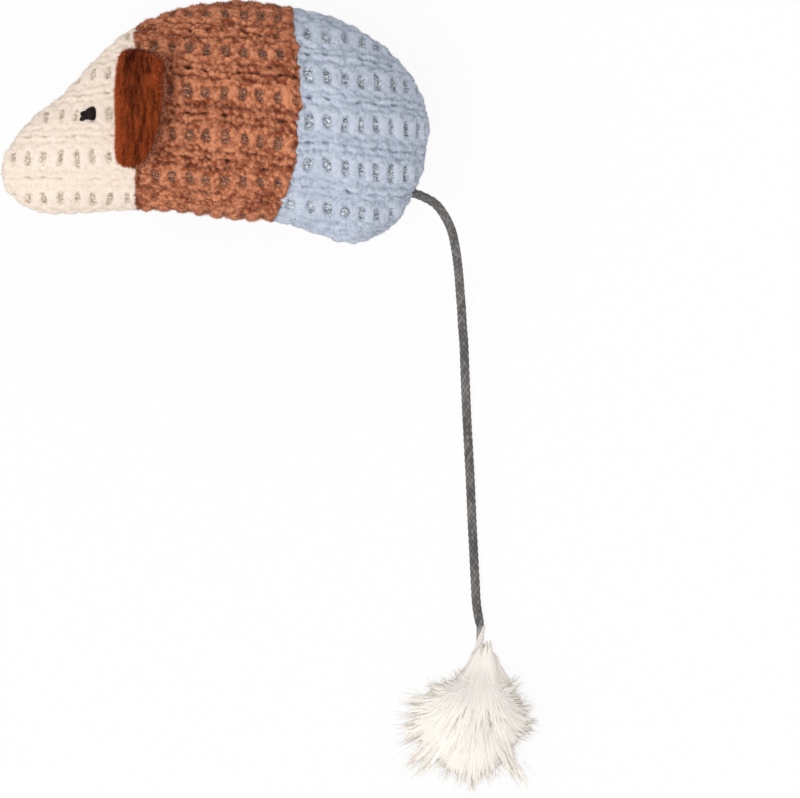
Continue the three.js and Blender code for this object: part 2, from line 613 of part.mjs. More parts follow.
const round = (v) => v.toArray().map((n) => n.toFixed(2)).join(", ");
console.log("tail pivot", round(tailPivot), "tuft pivot", round(tuftPivot));
console.log("tail hole", round(tailHole));
console.log("left ear base", round(earBase(1)), "right ear base", round(earBase(-1)));
const route = new THREE.CatmullRomCurve3([tailHole, tailPivot, ...CORD_ROUTE], false, "catmullrom", 0.5);
console.log("cord length outside", route.getLength().toFixed(1));

export default mouse;
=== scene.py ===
# %% [markdown]
# # A catnip mouse
# The toy is a stuffed mouse sewn from three knitted colours, with velvet ears, a braided cord for a
# tail and a tuft of fur at the tail's end. The hard facts (where each piece sits, and what moves) come
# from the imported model. This file dresses that model: every soft solid is replaced by a finished piece.

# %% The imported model
import itertools
import math

import bpy
import numpy as np
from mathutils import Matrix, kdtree


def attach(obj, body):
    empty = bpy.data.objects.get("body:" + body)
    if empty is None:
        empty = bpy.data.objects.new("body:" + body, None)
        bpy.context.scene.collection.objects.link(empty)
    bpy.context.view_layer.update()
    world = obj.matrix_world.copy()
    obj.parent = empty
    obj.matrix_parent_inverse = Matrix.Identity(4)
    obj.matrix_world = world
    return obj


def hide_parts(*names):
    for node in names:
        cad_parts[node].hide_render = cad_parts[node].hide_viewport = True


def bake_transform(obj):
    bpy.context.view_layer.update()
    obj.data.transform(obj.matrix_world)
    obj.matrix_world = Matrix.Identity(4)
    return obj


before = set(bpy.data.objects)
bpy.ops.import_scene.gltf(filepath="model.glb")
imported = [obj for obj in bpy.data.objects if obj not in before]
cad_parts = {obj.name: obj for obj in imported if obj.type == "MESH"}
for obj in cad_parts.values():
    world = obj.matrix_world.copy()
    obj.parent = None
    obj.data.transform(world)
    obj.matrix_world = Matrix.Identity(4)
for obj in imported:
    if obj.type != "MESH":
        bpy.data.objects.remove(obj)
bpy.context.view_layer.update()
MM = 0.001

# %% [markdown]
# ## Camera
# The photograph looks straight down on the toy, from far enough away that parallel lines stay
# parallel. A long lens two metres up gives the same view. One pixel of the 800 x 798 frame is about
# 0.22 mm at the middle of the mouse.

# %% Camera
FRAME_PIXELS = 800
PIXEL = 0.2204 * MM
MIDDLE_HEIGHT = 21.5
CAMERA_X, CAMERA_Y = 0.0408, -0.0610
CAMERA_DISTANCE = 2.0
camera_data = bpy.data.cameras.new("camera")
camera_data.sensor_width = 36
camera_data.lens = camera_data.sensor_width * CAMERA_DISTANCE / (FRAME_PIXELS * PIXEL)
camera = bpy.data.objects.new("camera", camera_data)
camera.location = (CAMERA_X, CAMERA_Y, MIDDLE_HEIGHT * MM + CAMERA_DISTANCE)
bpy.context.scene.collection.objects.link(camera)
bpy.context.scene.camera = camera
print(f"lens {camera_data.lens:.0f} mm")

# %% [markdown]
# ## Meshes from arrays
# Knit, braid and fur repeat one small form thousands of times. Python lists would be slow, so points
# and faces are worked out with numpy, in millimetres, and handed to Blender in one go. A piece may
# bring marks (one number per point, for its finish to read) and a flat map for baking.

# %% Mesh helper
def make_piece(name, shape, finish, body, nodes=(), marks=None, flat_map=None):
    points, faces = shape
    faces = [np.asarray(f, np.int32) for f in faces if len(f)]
    corners = np.concatenate([f.ravel() for f in faces])
    sizes = np.concatenate([np.full(len(f), f.shape[1], np.int32) for f in faces])
    starts = np.concatenate([[0], np.cumsum(sizes)[:-1]]).astype(np.int32)
    mesh = bpy.data.meshes.new(name)
    mesh.vertices.add(len(points))
    mesh.vertices.foreach_set("co", (np.asarray(points) * MM).astype(np.float32).ravel())
    mesh.loops.add(len(corners))
    mesh.loops.foreach_set("vertex_index", corners)
    mesh.polygons.add(len(sizes))
    mesh.polygons.foreach_set("loop_start", starts)
    mesh.polygons.foreach_set("use_smooth", np.ones(len(sizes), bool))
    mesh.update(calc_edges=True)
    for mark, values in (marks or {}).items():
        layer = mesh.attributes.new(mark, "FLOAT", "POINT")
        layer.data.foreach_set("value", values.astype(np.float32).ravel())
    if flat_map is not None:
        layer = mesh.uv_layers.new(name="OFBake")
        layer.data.foreach_set("uv", flat_map[corners].astype(np.float32).ravel())
    mesh.materials.append(finish)
    made = bpy.data.objects.new(name, mesh)
    bpy.context.scene.collection.objects.link(made)
    if body:
        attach(made, body)
    if nodes:
        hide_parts(*nodes)
    print(f"{name}: {len(points)} points, {len(sizes)} faces")
    return made

# %% [markdown]
# ## Finishes
# A finish is a node material. Sums on sockets are easier to read as sums, so a small class wraps a
# socket and turns Python's operators into Math nodes. Colours are mixed with Mix nodes, because a Math
# node would turn them grey. Colours are written as the 0 to 255 values that a picture shows.

# %% Socket class
class Wire:
    """One socket of a finish. Operators on it add Math nodes; node() adds any other node."""

    def __init__(self, tree, socket=None):
        self.tree = tree
        self.socket = socket

    def node(self, kind, settings, inputs, out=0):
        node = self.tree.nodes.new(kind)
        for key, value in settings.items():
            setattr(node, key, value)
        for key, value in inputs.items():
            if isinstance(value, Wire):
                self.tree.links.new(value.socket, node.inputs[key])
            else:
                node.inputs[key].default_value = value
        return None if out is None else Wire(self.tree, node.outputs[out])

    def math(self, operation, first, second=0.0, clamped=False):
        settings = {"operation": operation, "use_clamp": clamped}
        return self.node("ShaderNodeMath", settings, {0: first, 1: second})

    def __add__(self, other):
        return self.math("ADD", self, other)

    def __sub__(self, other):
        return self.math("SUBTRACT", self, other)

    def __rsub__(self, other):
        return self.math("SUBTRACT", other, self)

    def __mul__(self, other):
        return self.math("MULTIPLY", self, other)

    __radd__ = __add__

    def kept(self):
        """The value held between 0 and 1."""
        return self.math("ADD", self, 0.0, clamped=True)

    def mixed(self, first, second):
        """From the first colour to the second as this value goes from 0 to 1."""
        settings = {"data_type": "RGBA", "clamp_factor": True}
        return self.node("ShaderNodeMix", settings, {0: self, 6: first, 7: second}, out=2)

    def mark(self, name):
        return self.node("ShaderNodeAttribute", {"attribute_name": name}, {}, out="Fac")

    def cloud(self, place, scale, detail=2.0):
        inputs = {"Vector": place, "Scale": scale, "Detail": detail, "Roughness": 0.6}
        return self.node("ShaderNodeTexNoise", {}, inputs)

# %% Finish helpers
def shown(red, green, blue):
    """A colour as a picture shows it, in the light values that a shader takes."""
    def linear(value):
        value /= 255
        return value / 12.92 if value <= 0.04045 else ((value + 0.055) / 1.055) ** 2.4
    return (linear(red), linear(green), linear(blue), 1.0)


def open_finish(name):
    finish = bpy.data.materials.new(name)
    finish.use_nodes = True
    finish.node_tree.nodes.clear()
    return finish, Wire(finish.node_tree)


def close_finish(wire, inputs, through=0.0):
    """Ends a finish. through is the share of light that passes to the far side, as in fine fur."""
    shader = wire.node("ShaderNodeBsdfPrincipled", {}, inputs)
    if through:
        passed = wire.node("ShaderNodeBsdfTranslucent", {}, {"Color": inputs["Base Color"]})
        shader = wire.node("ShaderNodeMixShader", {}, {0: through, 1: shader, 2: passed})
    wire.node("ShaderNodeOutputMaterial", {}, {"Surface": shader}, out=None)


def placed(wire, squeeze=(1.0, 1.0, 1.0)):
    """Where a point is on its piece, in metres, drawn out along an axis by a small squeeze."""
    spot = wire.node("ShaderNodeTexCoord", {}, {}, out="Object")
    return wire.node("ShaderNodeVectorMath", {"operation": "MULTIPLY"}, {0: spot, 1: squeeze})


def bumped(wire, height, depth, strength):
    inputs = {"Height": height, "Distance": depth, "Strength": strength}
    return wire.node("ShaderNodeBump", {}, inputs)

# %% [markdown]
# ## Lines and tubes
# Seams, threads, cords and strands all follow smooth lines. The line used here passes through its
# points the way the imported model's lines do, so pieces land on the same path. A tube carries its ring
# along the line without twisting.

# %% Smooth lines
LINE_SAMPLES = 60


def smooth_line(knots, at):
    """Points on a line through the knots. at counts knots, so 1.5 is halfway from knot 1 to knot 2."""
    knots = np.asarray(knots, float)
    ends = np.vstack([2 * knots[0] - knots[1], knots, 2 * knots[-1] - knots[-2]])
    low = np.clip(np.floor(at).astype(int), 0, len(knots) - 2)
    part = (at - low)[..., None]
    before, start, end, after = (ends[low + k] for k in range(4))
    leave, arrive = (end - before) / 2, (after - start) / 2
    curl = 2 * (start - end) + leave + arrive
    return start + part * (leave + part * (3 * (end - start) - 2 * leave - arrive + part * curl))


def unit(vectors):
    return vectors / np.maximum(np.linalg.norm(vectors, axis=-1, keepdims=True), 1e-12)


def run_length(line):
    """Distance from the start of a line to each of its points."""
    steps = np.linalg.norm(np.diff(line, axis=0), axis=1)
    return np.concatenate([[0], np.cumsum(steps)])


def even_line(knots, step):
    """The smooth line through the knots, with its points about a step apart."""
    fine = smooth_line(knots, np.linspace(0, len(knots) - 1, LINE_SAMPLES * len(knots)))
    reach = run_length(fine)
    goal = np.linspace(0, reach[-1], max(2, round(reach[-1] / step)) + 1)
    return np.stack([np.interp(goal, reach, fine[:, k]) for k in range(3)], axis=1)


def carried_frame(line):
    """Two cross directions at each point of a line, carried along it without twist."""
    ahead = unit(np.gradient(line, axis=0))
    across = np.zeros_like(line)
    first = np.cross(ahead[0], [0.0, 0.0, 1.0])
    across[0] = first if np.linalg.norm(first) > 0.1 else np.cross(ahead[0], [1.0, 0.0, 0.0])
    for i in range(1, len(line)):
        across[i] = across[i - 1] - ahead[i] * np.dot(across[i - 1], ahead[i])
        across[i] = unit(across[i])
    across[0] = unit(across[0])
    return across, np.cross(ahead, across)

# %% Tubes
def ring_faces(rings, sides, looped=False):
    """Faces of a tube of rings, with its two ends closed."""
    i, j = np.meshgrid(np.arange(rings if looped else rings - 1), np.arange(sides), indexing="ij")
    ahead, beside = (i + 1) % rings, (j + 1) % sides
    corners = [i * sides + j, i * sides + beside, ahead * sides + beside, ahead * sides + j]
    walls = np.stack(corners, axis=-1).reshape(-1, 4)
    if looped:
        return [walls]
    start = np.arange(sides)[::-1][None]
    return [walls, start, (rings - 1) * sides + np.arange(sides)[None]]


def turned_over(faces, flip):
    return [np.asarray(f)[:, ::-1] for f in faces] if flip else faces


def strands(lines, widths, sides=3, flat=1.0):
    """Many closed tapered tubes at once. lines is strand, point, xyz; widths are radii per point."""
    ahead = unit(np.gradient(lines, axis=1))
    guide = np.where(np.abs(ahead[..., 2:]) < 0.9, [[[0.0, 0.0, 1.0]]], [[[1.0, 0.0, 0.0]]])
    across = unit(np.cross(ahead, guide))[:, :, None]
    upward = np.cross(ahead, across[:, :, 0])[:, :, None]
    turn = (np.arange(sides) * 2 * np.pi / sides)[:, None]
    around = across * np.cos(turn) + flat * upward * np.sin(turn)
    points = lines[:, :, None] + around * widths[:, :, None, None]
    count, rings = lines.shape[:2]
    first = (np.arange(count) * rings * sides)[:, None, None]
    faces = [(first + f[None]).reshape(-1, f.shape[1]) for f in ring_faces(rings, sides)]
    return points.reshape(-1, 3), faces

# %% [markdown]
# ## Random fields
# Yarn and fur are uneven at every size. Two small fields give that: a soft cloud, and packed puffs that
# each carry a tone. Both read one seeded table, so every run makes the same toy.

# %% Random fields
LATTICE_SIZE = 32
PUFF_REACH = 0.75
LATTICE = np.random.default_rng(7).random((LATTICE_SIZE, LATTICE_SIZE, LATTICE_SIZE))


def eased(value):
    value = np.clip(value, 0, 1)
    return value * value * (3 - 2 * value)


def cloud(points, size):
    """A soft random field from 0 to 1 with lumps of about this size in millimetres."""
    spot = points / size
    low = np.floor(spot).astype(int)
    part = spot - low
    part = part * part * (3 - 2 * part)
    total = np.zeros(points.shape[:-1])
    for corner in itertools.product((0, 1), repeat=3):
        i, j, k = np.moveaxis((low + corner) % LATTICE_SIZE, -1, 0)
        total += LATTICE[i, j, k] * np.prod(np.where(corner, part, 1 - part), axis=-1)
    return total


def uneven(points, away, size):
    """The soft field about zero, read at a distance away so that two readings differ."""
    return cloud(points + away, size) - 0.5


def puffs(points, size):
    """Puffs packed at random: 1 in the middle of each and less between them, with a tone for each puff."""
    spot = points / size
    low = np.floor(spot).astype(int)
    best, tone = np.full(points.shape[:-1], 9.0), np.zeros(points.shape[:-1])
    for corner in itertools.product((-1, 0, 1), repeat=3):
        cell = low + corner
        i, j, k = np.moveaxis(cell % LATTICE_SIZE, -1, 0)
        middle = cell + np.stack([LATTICE[i, j, k], LATTICE[j, k, i], LATTICE[k, i, j]], -1)
        far = ((spot - middle) ** 2).sum(-1)
        tone = np.where(far < best, LATTICE[i, k, j], tone)
        best = np.minimum(best, far)
    return np.clip(1 - best / PUFF_REACH, 0, 1), tone

# %% [markdown]
# ## Tail cord
# The tail is a fine braided cord, 2.1 mm thick. It leaves the outline seam low on the rump, bends down
# to the floor and lies there, straight, as far as the tuft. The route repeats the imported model's route.
# The braid is real relief: two families of strands wind opposite ways and pass over and under.

# %% Cord route
TAIL_HOLE = np.array([43.62, -15.58, 21.5])
TAIL_PIVOT = np.array([45.83, -16.38, 21.5])
TUFT_PIVOT = np.array([58.8, -112.0, 1.05])
TAIL_OUT = unit(TAIL_PIVOT - TAIL_HOLE)
CORD_RADIUS = 1.05
CORD_STEP, CORD_INSET = 0.14, 0.6
CORD_ROUTE = [
    [48.5, -17.9, 21.1], [50.4, -20.2, 19.9], [52, -23.3, 17.7], [52.9, -26.7, 14.7], [53.5, -30.4, 11.4],
    [53.9, -34, 8.3], [54.2, -37.7, 5.6], [54.5, -41.3, 3.4], [54.7, -44.9, 1.9], [55, -48.4, 1.2],
    [55.3, -55.8, 1.05], [55.7, -65.4, 1.05], [56.4, -78.2, 1.05], [56.9, -89.5, 1.05],
    [57.5, -100.8, 1.05], [57.8, -106.3, 1.05], [58.4, -110.2, 1.05], [58.8, -112, 1.05],
]
cord_line = even_line([TAIL_HOLE - CORD_INSET * TAIL_OUT, TAIL_PIVOT, *CORD_ROUTE], CORD_STEP)
print(f"cord line {run_length(cord_line)[-1]:.1f} mm")

# %% Cord finish
FIBRE_SCALE = 5200.0
cord_finish, wire = open_finish("grey braid")
weave = wire.mark("tone")
hollow = wire.mark("hollow")
fibre = wire.cloud(placed(wire), FIBRE_SCALE, 3.0)
# weave is each strand's tone, with a painted highlight on its crown.
lively = (weave * 1.1 + fibre * 0.7 - 0.42).kept()
yarn = lively.mixed(shown(33, 31, 32), shown(128, 124, 122))
# Painted shade: the dips between strands, by the hollow mark, go toward near black.
close_finish(wire, {
    "Base Color": (hollow * 0.9).mixed(yarn, shown(30, 29, 30)),
    "Roughness": (0.62 + fibre * 0.25),
    "Normal": bumped(wire, fibre, 0.00006, 0.5),
    "Sheen Weight": 0.15,
    "Sheen Roughness": 0.5,
})

# %% Braid
BRAID_STRANDS = 6
BRAID_PITCH, BRAID_RELIEF = 1.5, 0.2
BRAID_TONES, SECOND_FAMILY = 997, 400
CORD_TAPER = np.linspace(1.0, 0.8, 14)


def braid(line, radius, sides=48, looped=False, narrowed=None):
    """A braided tube along a line, with strand tones painted lighter on the crowns and painted shade in the
    dips.
    """
    across, upward = carried_frame(line)
    reach = run_length(line)[:, None]
    turn = (np.arange(sides) * 2 * np.pi / sides)[None]
    one = BRAID_STRANDS * turn / (2 * np.pi) + reach / BRAID_PITCH
    two = BRAID_STRANDS * turn / (2 * np.pi) - reach / BRAID_PITCH
    over = (np.floor(one) + np.floor(two)) % 2 < 1
    a, b = 2 * (one % 1) - 1, 2 * (two % 1) - 1
    wide, long = np.where(over, a, b), np.where(over, b, a)
    crown = np.sqrt(np.maximum(0, 1 - 0.92 * wide**2)) * (1 - 0.35 * long**2)
    table = np.random.default_rng(3).random((2, BRAID_TONES))
    which = np.where(over, np.floor(one), np.floor(two) + SECOND_FAMILY).astype(int)
    # Each strand's own tone, plus a painted highlight on its crown.
    tone = table[over.astype(int), which % BRAID_TONES] * 0.6 + 0.4 * crown
    height = radius * (1 - BRAID_RELIEF + BRAID_RELIEF * crown)
    if narrowed is not None:
        height = height * narrowed[:, None]
    around = across[:, None] * np.cos(turn)[..., None] + upward[:, None] * np.sin(turn)[..., None]
    points = line[:, None] + around * height[..., None]
    # hollow marks the dips between strands, where the finish paints shade.
    marks = {"tone": tone.ravel(), "hollow": (1 - crown).ravel() ** 2}
    return (points.reshape(-1, 3), ring_faces(len(line), sides, looped)), marks


slim = np.ones(len(cord_line))
slim[-len(CORD_TAPER):] = CORD_TAPER
shape, marks = braid(cord_line, CORD_RADIUS, narrowed=slim)
tail_cord = make_piece("tail_braid", shape, cord_finish, None, ["tail_cord"], marks)
BEND_END = smooth_line([TAIL_PIVOT, *CORD_ROUTE], np.array(2.0))
tuple(BEND_END * MM)
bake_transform(tail_cord)

# %% [markdown]
# ## Tuft neck and tuft
# The tuft is a bunch of pale fur, bound to the cord's end by a short twist where grey threads and fur
# wind round each other. Particle hair isn't kept by an export, so each lock is a thin closed strand.
# A soft core fills the middle, and about three thousand strands cover it and reach the outline that the
# photograph shows: wispy and wide on the nose side, rounder on the other, smooth beside the neck.

# %% Fur finish
fur_finish, wire = open_finish("pale fur")
lock = wire.mark("tone")
drift = wire.cloud(placed(wire), 260.0, 2.0)
fine = wire.cloud(placed(wire, (1.0, 0.25, 1.0)), 3500.0, 2.0)
# The tone mark carries painted light: paler toward the core's rim, on its ridges and on the strands.
body_tone = (lock * 0.9 + drift * 0.3 - 0.12).kept()
close_finish(wire, {
    "Base Color": body_tone.mixed(shown(246, 236, 224), shown(255, 250, 243)),
    "Roughness": (0.55 + fine * 0.3),
    "Normal": bumped(wire, fine, 0.00005, 0.3),
    "Sheen Weight": 0.2,
    "Sheen Roughness": 0.4,
}, through=0.07)

# %% Tuft frame
TUFT_TURN = math.radians(-6)
TUFT_AHEAD = np.array([math.sin(TUFT_TURN), -math.cos(TUFT_TURN), 0.0])
TUFT_SIDE = np.array([math.cos(TUFT_TURN), math.sin(TUFT_TURN), 0.0])
rng = np.random.default_rng(11)


def tuft_spot(along, aside, height):
    """A point of the tuft, from its pivot: along it, to its side, and up from the floor."""
    ahead, beside = np.multiply.outer(along, TUFT_AHEAD), np.multiply.outer(aside, TUFT_SIDE)
    flat = TUFT_PIVOT * [1, 1, 0] + ahead + beside
    return flat + np.multiply.outer(height, [0.0, 0.0, 1.0])


def varied(least, more, *shape):
    """Random numbers from the least up to that much more."""
    return least + more * rng.random(shape)


# %% Tuft neck finish
neck_finish, wire = open_finish("grey and pale twist")
fibre = wire.cloud(placed(wire), FIBRE_SCALE, 3.0)
pale_share = (wire.mark("tone") + fibre * 0.3 - 0.15).kept()
close_finish(wire, {
    "Base Color": pale_share.mixed(shown(62, 60, 60), shown(244, 238, 232)),
    "Roughness": (0.6 + fibre * 0.3),
    "Normal": bumped(wire, fibre, 0.00005, 0.4),
    "Sheen Weight": 0.1,
})

# %% Tuft neck
NECK_STRANDS, NECK_POINTS, NECK_SIDES = 30, 22, 5
NECK_TURNS, NECK_TURN_LENGTH, NECK_FIRST_TURN = 0.45, 8, 0.22
GREY_SHARE = 0.55
GREY_LENGTH, PALE_LENGTH, MORE_LENGTH = 4.6, 7.5, 1.6
NECK_PLACES = (-0.7, 0.5, 3.0, 5.0, 8.5)
NECK_GREY = (0.86, 0.8, 0.6, 0.8, 1.9)
NECK_PALE = (0.86, 0.8, 0.8, 1.3, 2.4)
NECK_RISE, NECK_LOWEST = 0.09, 0.2
NECK_THREAD, NECK_THINNED = 0.19, 0.85
twist = np.linspace(0, 1, NECK_POINTS)
neck_width = NECK_THREAD * (1 - NECK_THINNED * np.maximum(0, twist - 0.5) / 0.5)
neck_lines, neck_tones = [], []
for k in range(NECK_STRANDS):
    place = k / NECK_STRANDS
    grey = place < GREY_SHARE
    along = NECK_PLACES[0] + ((GREY_LENGTH if grey else PALE_LENGTH) + MORE_LENGTH * rng.random()) * twist
    swell = np.interp(along, NECK_PLACES, NECK_GREY if grey else NECK_PALE) * varied(0.75, 0.25)
    angle = 2 * np.pi * (place + NECK_FIRST_TURN + NECK_TURNS * along / NECK_TURN_LENGTH)
    height = CORD_RADIUS + NECK_RISE * np.maximum(along, 0) + swell * np.sin(angle)
    neck_lines.append(tuft_spot(along, swell * np.cos(angle), np.maximum(NECK_LOWEST, height)))
    shade = 0.2 * rng.random()
    tone = 0.08 + shade + 0.35 * twist if grey else np.full(NECK_POINTS, 0.8 + shade)
    neck_tones.append(np.repeat(tone, NECK_SIDES))
shape = strands(np.array(neck_lines), np.tile(neck_width, (NECK_STRANDS, 1)), NECK_SIDES)
neck_marks = {"tone": np.concatenate(neck_tones)}
tuft_neck = make_piece("tuft_neck_twist", shape, neck_finish, None, ["tuft_neck"], neck_marks)
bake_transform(tuft_neck)

# %% [markdown]
# The tuft is drawn round its own middle, as seen from above: how far the soft mass reaches in each
# direction, and where the longer wisps point. Zero degrees is away from the nose and 90 is ahead, on from
# the cord, so the neck lies at 274. The core is a dome over that outline, drawn down to the neck.

# %% Tuft outline
TUFT_MIDDLE_ALONG, TUFT_MIDDLE_ASIDE = 19.6, 0.3
MASS = np.array([
    (0, 13.4), (32, 12.0), (46, 13.4), (67, 14.0), (90, 14.4), (130, 14.4), (155, 13.8), (180, 13.4),
    (200, 12.6), (212, 11.6), (235, 9.6), (250, 11.0), (260, 13.2), (267, 16.0), (274, 18.0), (281, 16.8),
    (288, 14.8), (300, 12.8), (330, 12.0), (360, 13.4),
])
MASS_ROUNDING = np.linspace(-7, 7, 9)
WISPS = np.array([
    (187, 17.0), (173, 17.5), (164, 17.9), (154, 18.9), (137, 21.0), (129, 20.0), (110, 16.4), (95, 16.8),
    (84, 18.0), (67, 17.0), (46, 20.6), (9, 15.0), (0, 14.8), (343, 13.4), (212, 13.2), (246, 11.6),
])
TUFT_TOP, RIM_HEIGHT, CORE_GAP = 13.0, 3.6, 0.15
NECK_TURN, NECK_WIDTH, NECK_REACH, NECK_TOP, NECK_RIM = 274, 24, 18.0, 2.3, 1.2


def tuft_plan(turn, reach):
    """How far along the tuft and to its side a point lies, from a turn in degrees and a reach."""
    angle = np.radians(turn)
    return TUFT_MIDDLE_ALONG + reach * np.sin(angle), TUFT_MIDDLE_ASIDE + reach * np.cos(angle)


def mass_reach(turn):
    """The soft mass's reach, as a line through its points with rounded corners."""
    return np.mean([np.interp((turn + d) % 360, *MASS.T) for d in MASS_ROUNDING], axis=0)


def dome(turn, share):
    """Upper and lower height of the core at a share of its reach."""
    bowl = np.maximum(0, 1 - share**2.6) ** 0.55
    neck = np.exp(-(((turn - NECK_TURN) / NECK_WIDTH) ** 2))
    rim = RIM_HEIGHT + (NECK_RIM - RIM_HEIGHT) * neck
    crest = rim + (TUFT_TOP - rim) * bowl
    slope = NECK_TOP + (TUFT_TOP - NECK_TOP) * (1 - eased(share))
    upper = crest + (slope - crest) * neck
    return upper, CORE_GAP + (rim - CORE_GAP) * (1 - bowl)


NECK_ALONG, NECK_ASIDE = tuft_plan(NECK_TURN, NECK_REACH)

# %% Tuft core
CORE_RINGS, CORE_SIDES = 120, 192
CORE_SHARE, CORE_SINK = 0.9, 0.4
GROOVE_DEPTH, GROOVE_LENGTH, GROOVE_COUNT = 0.5, 9, 11
core_turn = (np.arange(CORE_SIDES) * 360 / CORE_SIDES)[None]
core_way = np.linspace(0.02, 0.98, CORE_RINGS)[:, None]
core_share = np.sin(np.pi * core_way) ** 0.9
core_upper, core_lower = dome(core_turn, core_share)
core_plan = core_share * mass_reach(core_turn)
core_along, core_aside = tuft_plan(core_turn, core_plan)
combed_way = np.arctan2(core_aside - NECK_ASIDE, core_along - NECK_ALONG)
combed_run = np.hypot(core_aside - NECK_ASIDE, core_along - NECK_ALONG)
comb = np.stack([combed_run / GROOVE_LENGTH, GROOVE_COUNT * combed_way, 0 * combed_way], -1)
grooves = cloud(comb + 20, 1.0) + 0.6 * cloud(comb * [2, 2.3, 1] + 40, 1.0) - 0.8
core_reach = CORE_SHARE * core_plan * (1 + 0.1 * grooves * core_share)
inboard = 1 - core_share**4
core_top = core_upper - CORE_SINK * inboard + GROOVE_DEPTH * grooves * inboard
core_height = np.where(core_way < 0.5, core_top, core_lower)
core_points = tuft_spot(*tuft_plan(core_turn, core_reach), core_height).reshape(-1, 3)
# Painted light: the core is paler toward its rim, where its sides fall into shade, and on its raised ridges.
core_tone = np.clip(0.1 + 0.3 * core_share**2 + 0.4 * grooves, 0, 1)
core_shape = core_points, ring_faces(CORE_RINGS, CORE_SIDES)
tuft_core = make_piece("tuft_core", core_shape, fur_finish, "tuft", ["tail_tuft"],
                       {"tone": core_tone.ravel()})

# %% [markdown]
# Locks and hairs follow paths that spring from the neck, run over the dome and fan out to the outline. A
# lock is a flat tapered strand about a millimetre wide that takes up a stretch of its path. Fine hairs
# lie between the locks and stand off at the tips.

# %% Tuft paths
STRAND_POINTS = 9
WISP_SPREAD, WISP_SHARE = 3.2, 0.42
LOOSE_FROM, LOOSE_SPAN = 308, 296
BEND_SHARE, SWAY = 0.25, 0.35
SHOULDER, WISP_END, WISP_HEIGHT = 0.7, 1.45, 1.0
ROOT_DEPTH, ROOT_SPREAD = 3.0, 0.07
OVER_LOWEST, UNDER_LOWEST = 0.3, 0.24
strand_way = np.linspace(0, 1, STRAND_POINTS)[None]


def fanned(count, wisp_share):
    """Tips round the outline: some gathered in the wisps, some spread along the soft mass."""
    wisp = WISPS[rng.integers(0, len(WISPS), count)]
    loose = varied(LOOSE_FROM, LOOSE_SPAN, count)
    gathered = rng.random(count) < wisp_share
    turn = np.where(gathered, wisp[:, 0] + rng.normal(0, WISP_SPREAD, count), loose) % 360
    soft = mass_reach(turn) * varied(0.9, 0.18, count)
    return turn, np.where(gathered, wisp[:, 1] * varied(0.78, 0.22, count), soft)


def arched(way, start, bend, end):
    """A line from a start to an end, drawn toward a bend."""
    return (1 - way) ** 2 * start + 2 * way * (1 - way) * bend + way**2 * end


def flowing(tips, start, end, sink, over=None):
    """Lines from the neck toward the tips, from a start to an end of the way.

    They run over the dome where a lift and a fall are given, and under it where not.
    """
    tip_along, tip_aside = (tip[:, None] for tip in tuft_plan(*tips))
    bend_along = TUFT_MIDDLE_ALONG + BEND_SHARE * (tip_along - TUFT_MIDDLE_ALONG)
    bend_aside = TUFT_MIDDLE_ASIDE + BEND_SHARE * (tip_aside - TUFT_MIDDLE_ASIDE)
    way = start[:, None] + (end - start)[:, None] * strand_way
    sway = rng.normal(0, SWAY, (2, len(start), 1)) * np.sin(np.pi * strand_way)
    root_along = NECK_ALONG + ROOT_DEPTH * rng.random(len(start))[:, None]
    root_aside = NECK_ASIDE + ROOT_SPREAD * (tip_aside - TUFT_MIDDLE_ASIDE)
    along = arched(way, root_along, bend_along, tip_along) + sway[0]
    aside = arched(way, root_aside, bend_aside, tip_aside) + sway[1]
    ahead, beside = along - TUFT_MIDDLE_ALONG, aside - TUFT_MIDDLE_ASIDE
    turn = np.degrees(np.arctan2(ahead, beside)) % 360
    share = np.hypot(ahead, beside) / (CORE_SHARE * mass_reach(turn))
    top, low = dome(turn, np.minimum(share, 1))
    if over is None:
        return tuft_spot(along, aside, np.maximum(low - sink, UNDER_LOWEST))
    lift, fall = (value[:, None] for value in over)
    shoulder = dome(turn, np.minimum(share, SHOULDER))[0]
    spread = np.clip((share - SHOULDER) / (WISP_END - SHOULDER), 0, 1)
    top = np.maximum(top, WISP_HEIGHT + (shoulder - WISP_HEIGHT) * (1 - spread))
    height = (top - sink * (1 - strand_way)) * (1 - fall * spread) + lift * strand_way
    return tuft_spot(along, aside, np.maximum(height, OVER_LOWEST))


def add_fur(name, lines, widths, sides, flat, tone):
    """A piece of many strands, each with a small place of its own on the flat map."""
    count = len(lines)
    spot = rng.random((count, 1, 1, 2)) * 0.96
    length, girth = np.linspace(0, 0.03, STRAND_POINTS), np.linspace(0, 0.012, sides)
    corner = np.stack(np.meshgrid(length, girth, indexing="ij"), -1)
    flat_map = np.broadcast_to(spot + corner[None], (count, STRAND_POINTS, sides, 2)).reshape(-1, 2)
    marks = {"tone": np.repeat(tone, STRAND_POINTS * sides)}
    shape = strands(lines, widths, sides, flat)
    return make_piece(name, shape, fur_finish, "tuft", (), marks, flat_map)

# %% Tuft locks and hairs
# Locks and hairs take paler tones than the core: painted light that makes up for the shade they cast on one
# another.
LOCKS, HAIRS = 760, 1500
LOCK_TAPER = np.interp(strand_way, [0, 0.3, 0.7, 1], [0.12, 1, 0.5, 0.03])
HAIR_END = 0.012
begin = np.where(rng.random(LOCKS) < 0.5, varied(0, 0.6, LOCKS), varied(0.5, 0.25, LOCKS))
end = np.minimum(begin + 0.32 + varied(0, 0.15, LOCKS), 1.0)
fall = varied(0, 0.3, LOCKS)
lines = flowing(fanned(LOCKS, WISP_SHARE), begin, end, 0.3, (varied(0, 0.15, LOCKS), fall))
widths = varied(0.4, 0.35, LOCKS, 1) * LOCK_TAPER
tuft_locks = add_fur("tuft_locks", lines, widths, 8, 0.35, varied(0.6, 0.4, LOCKS))

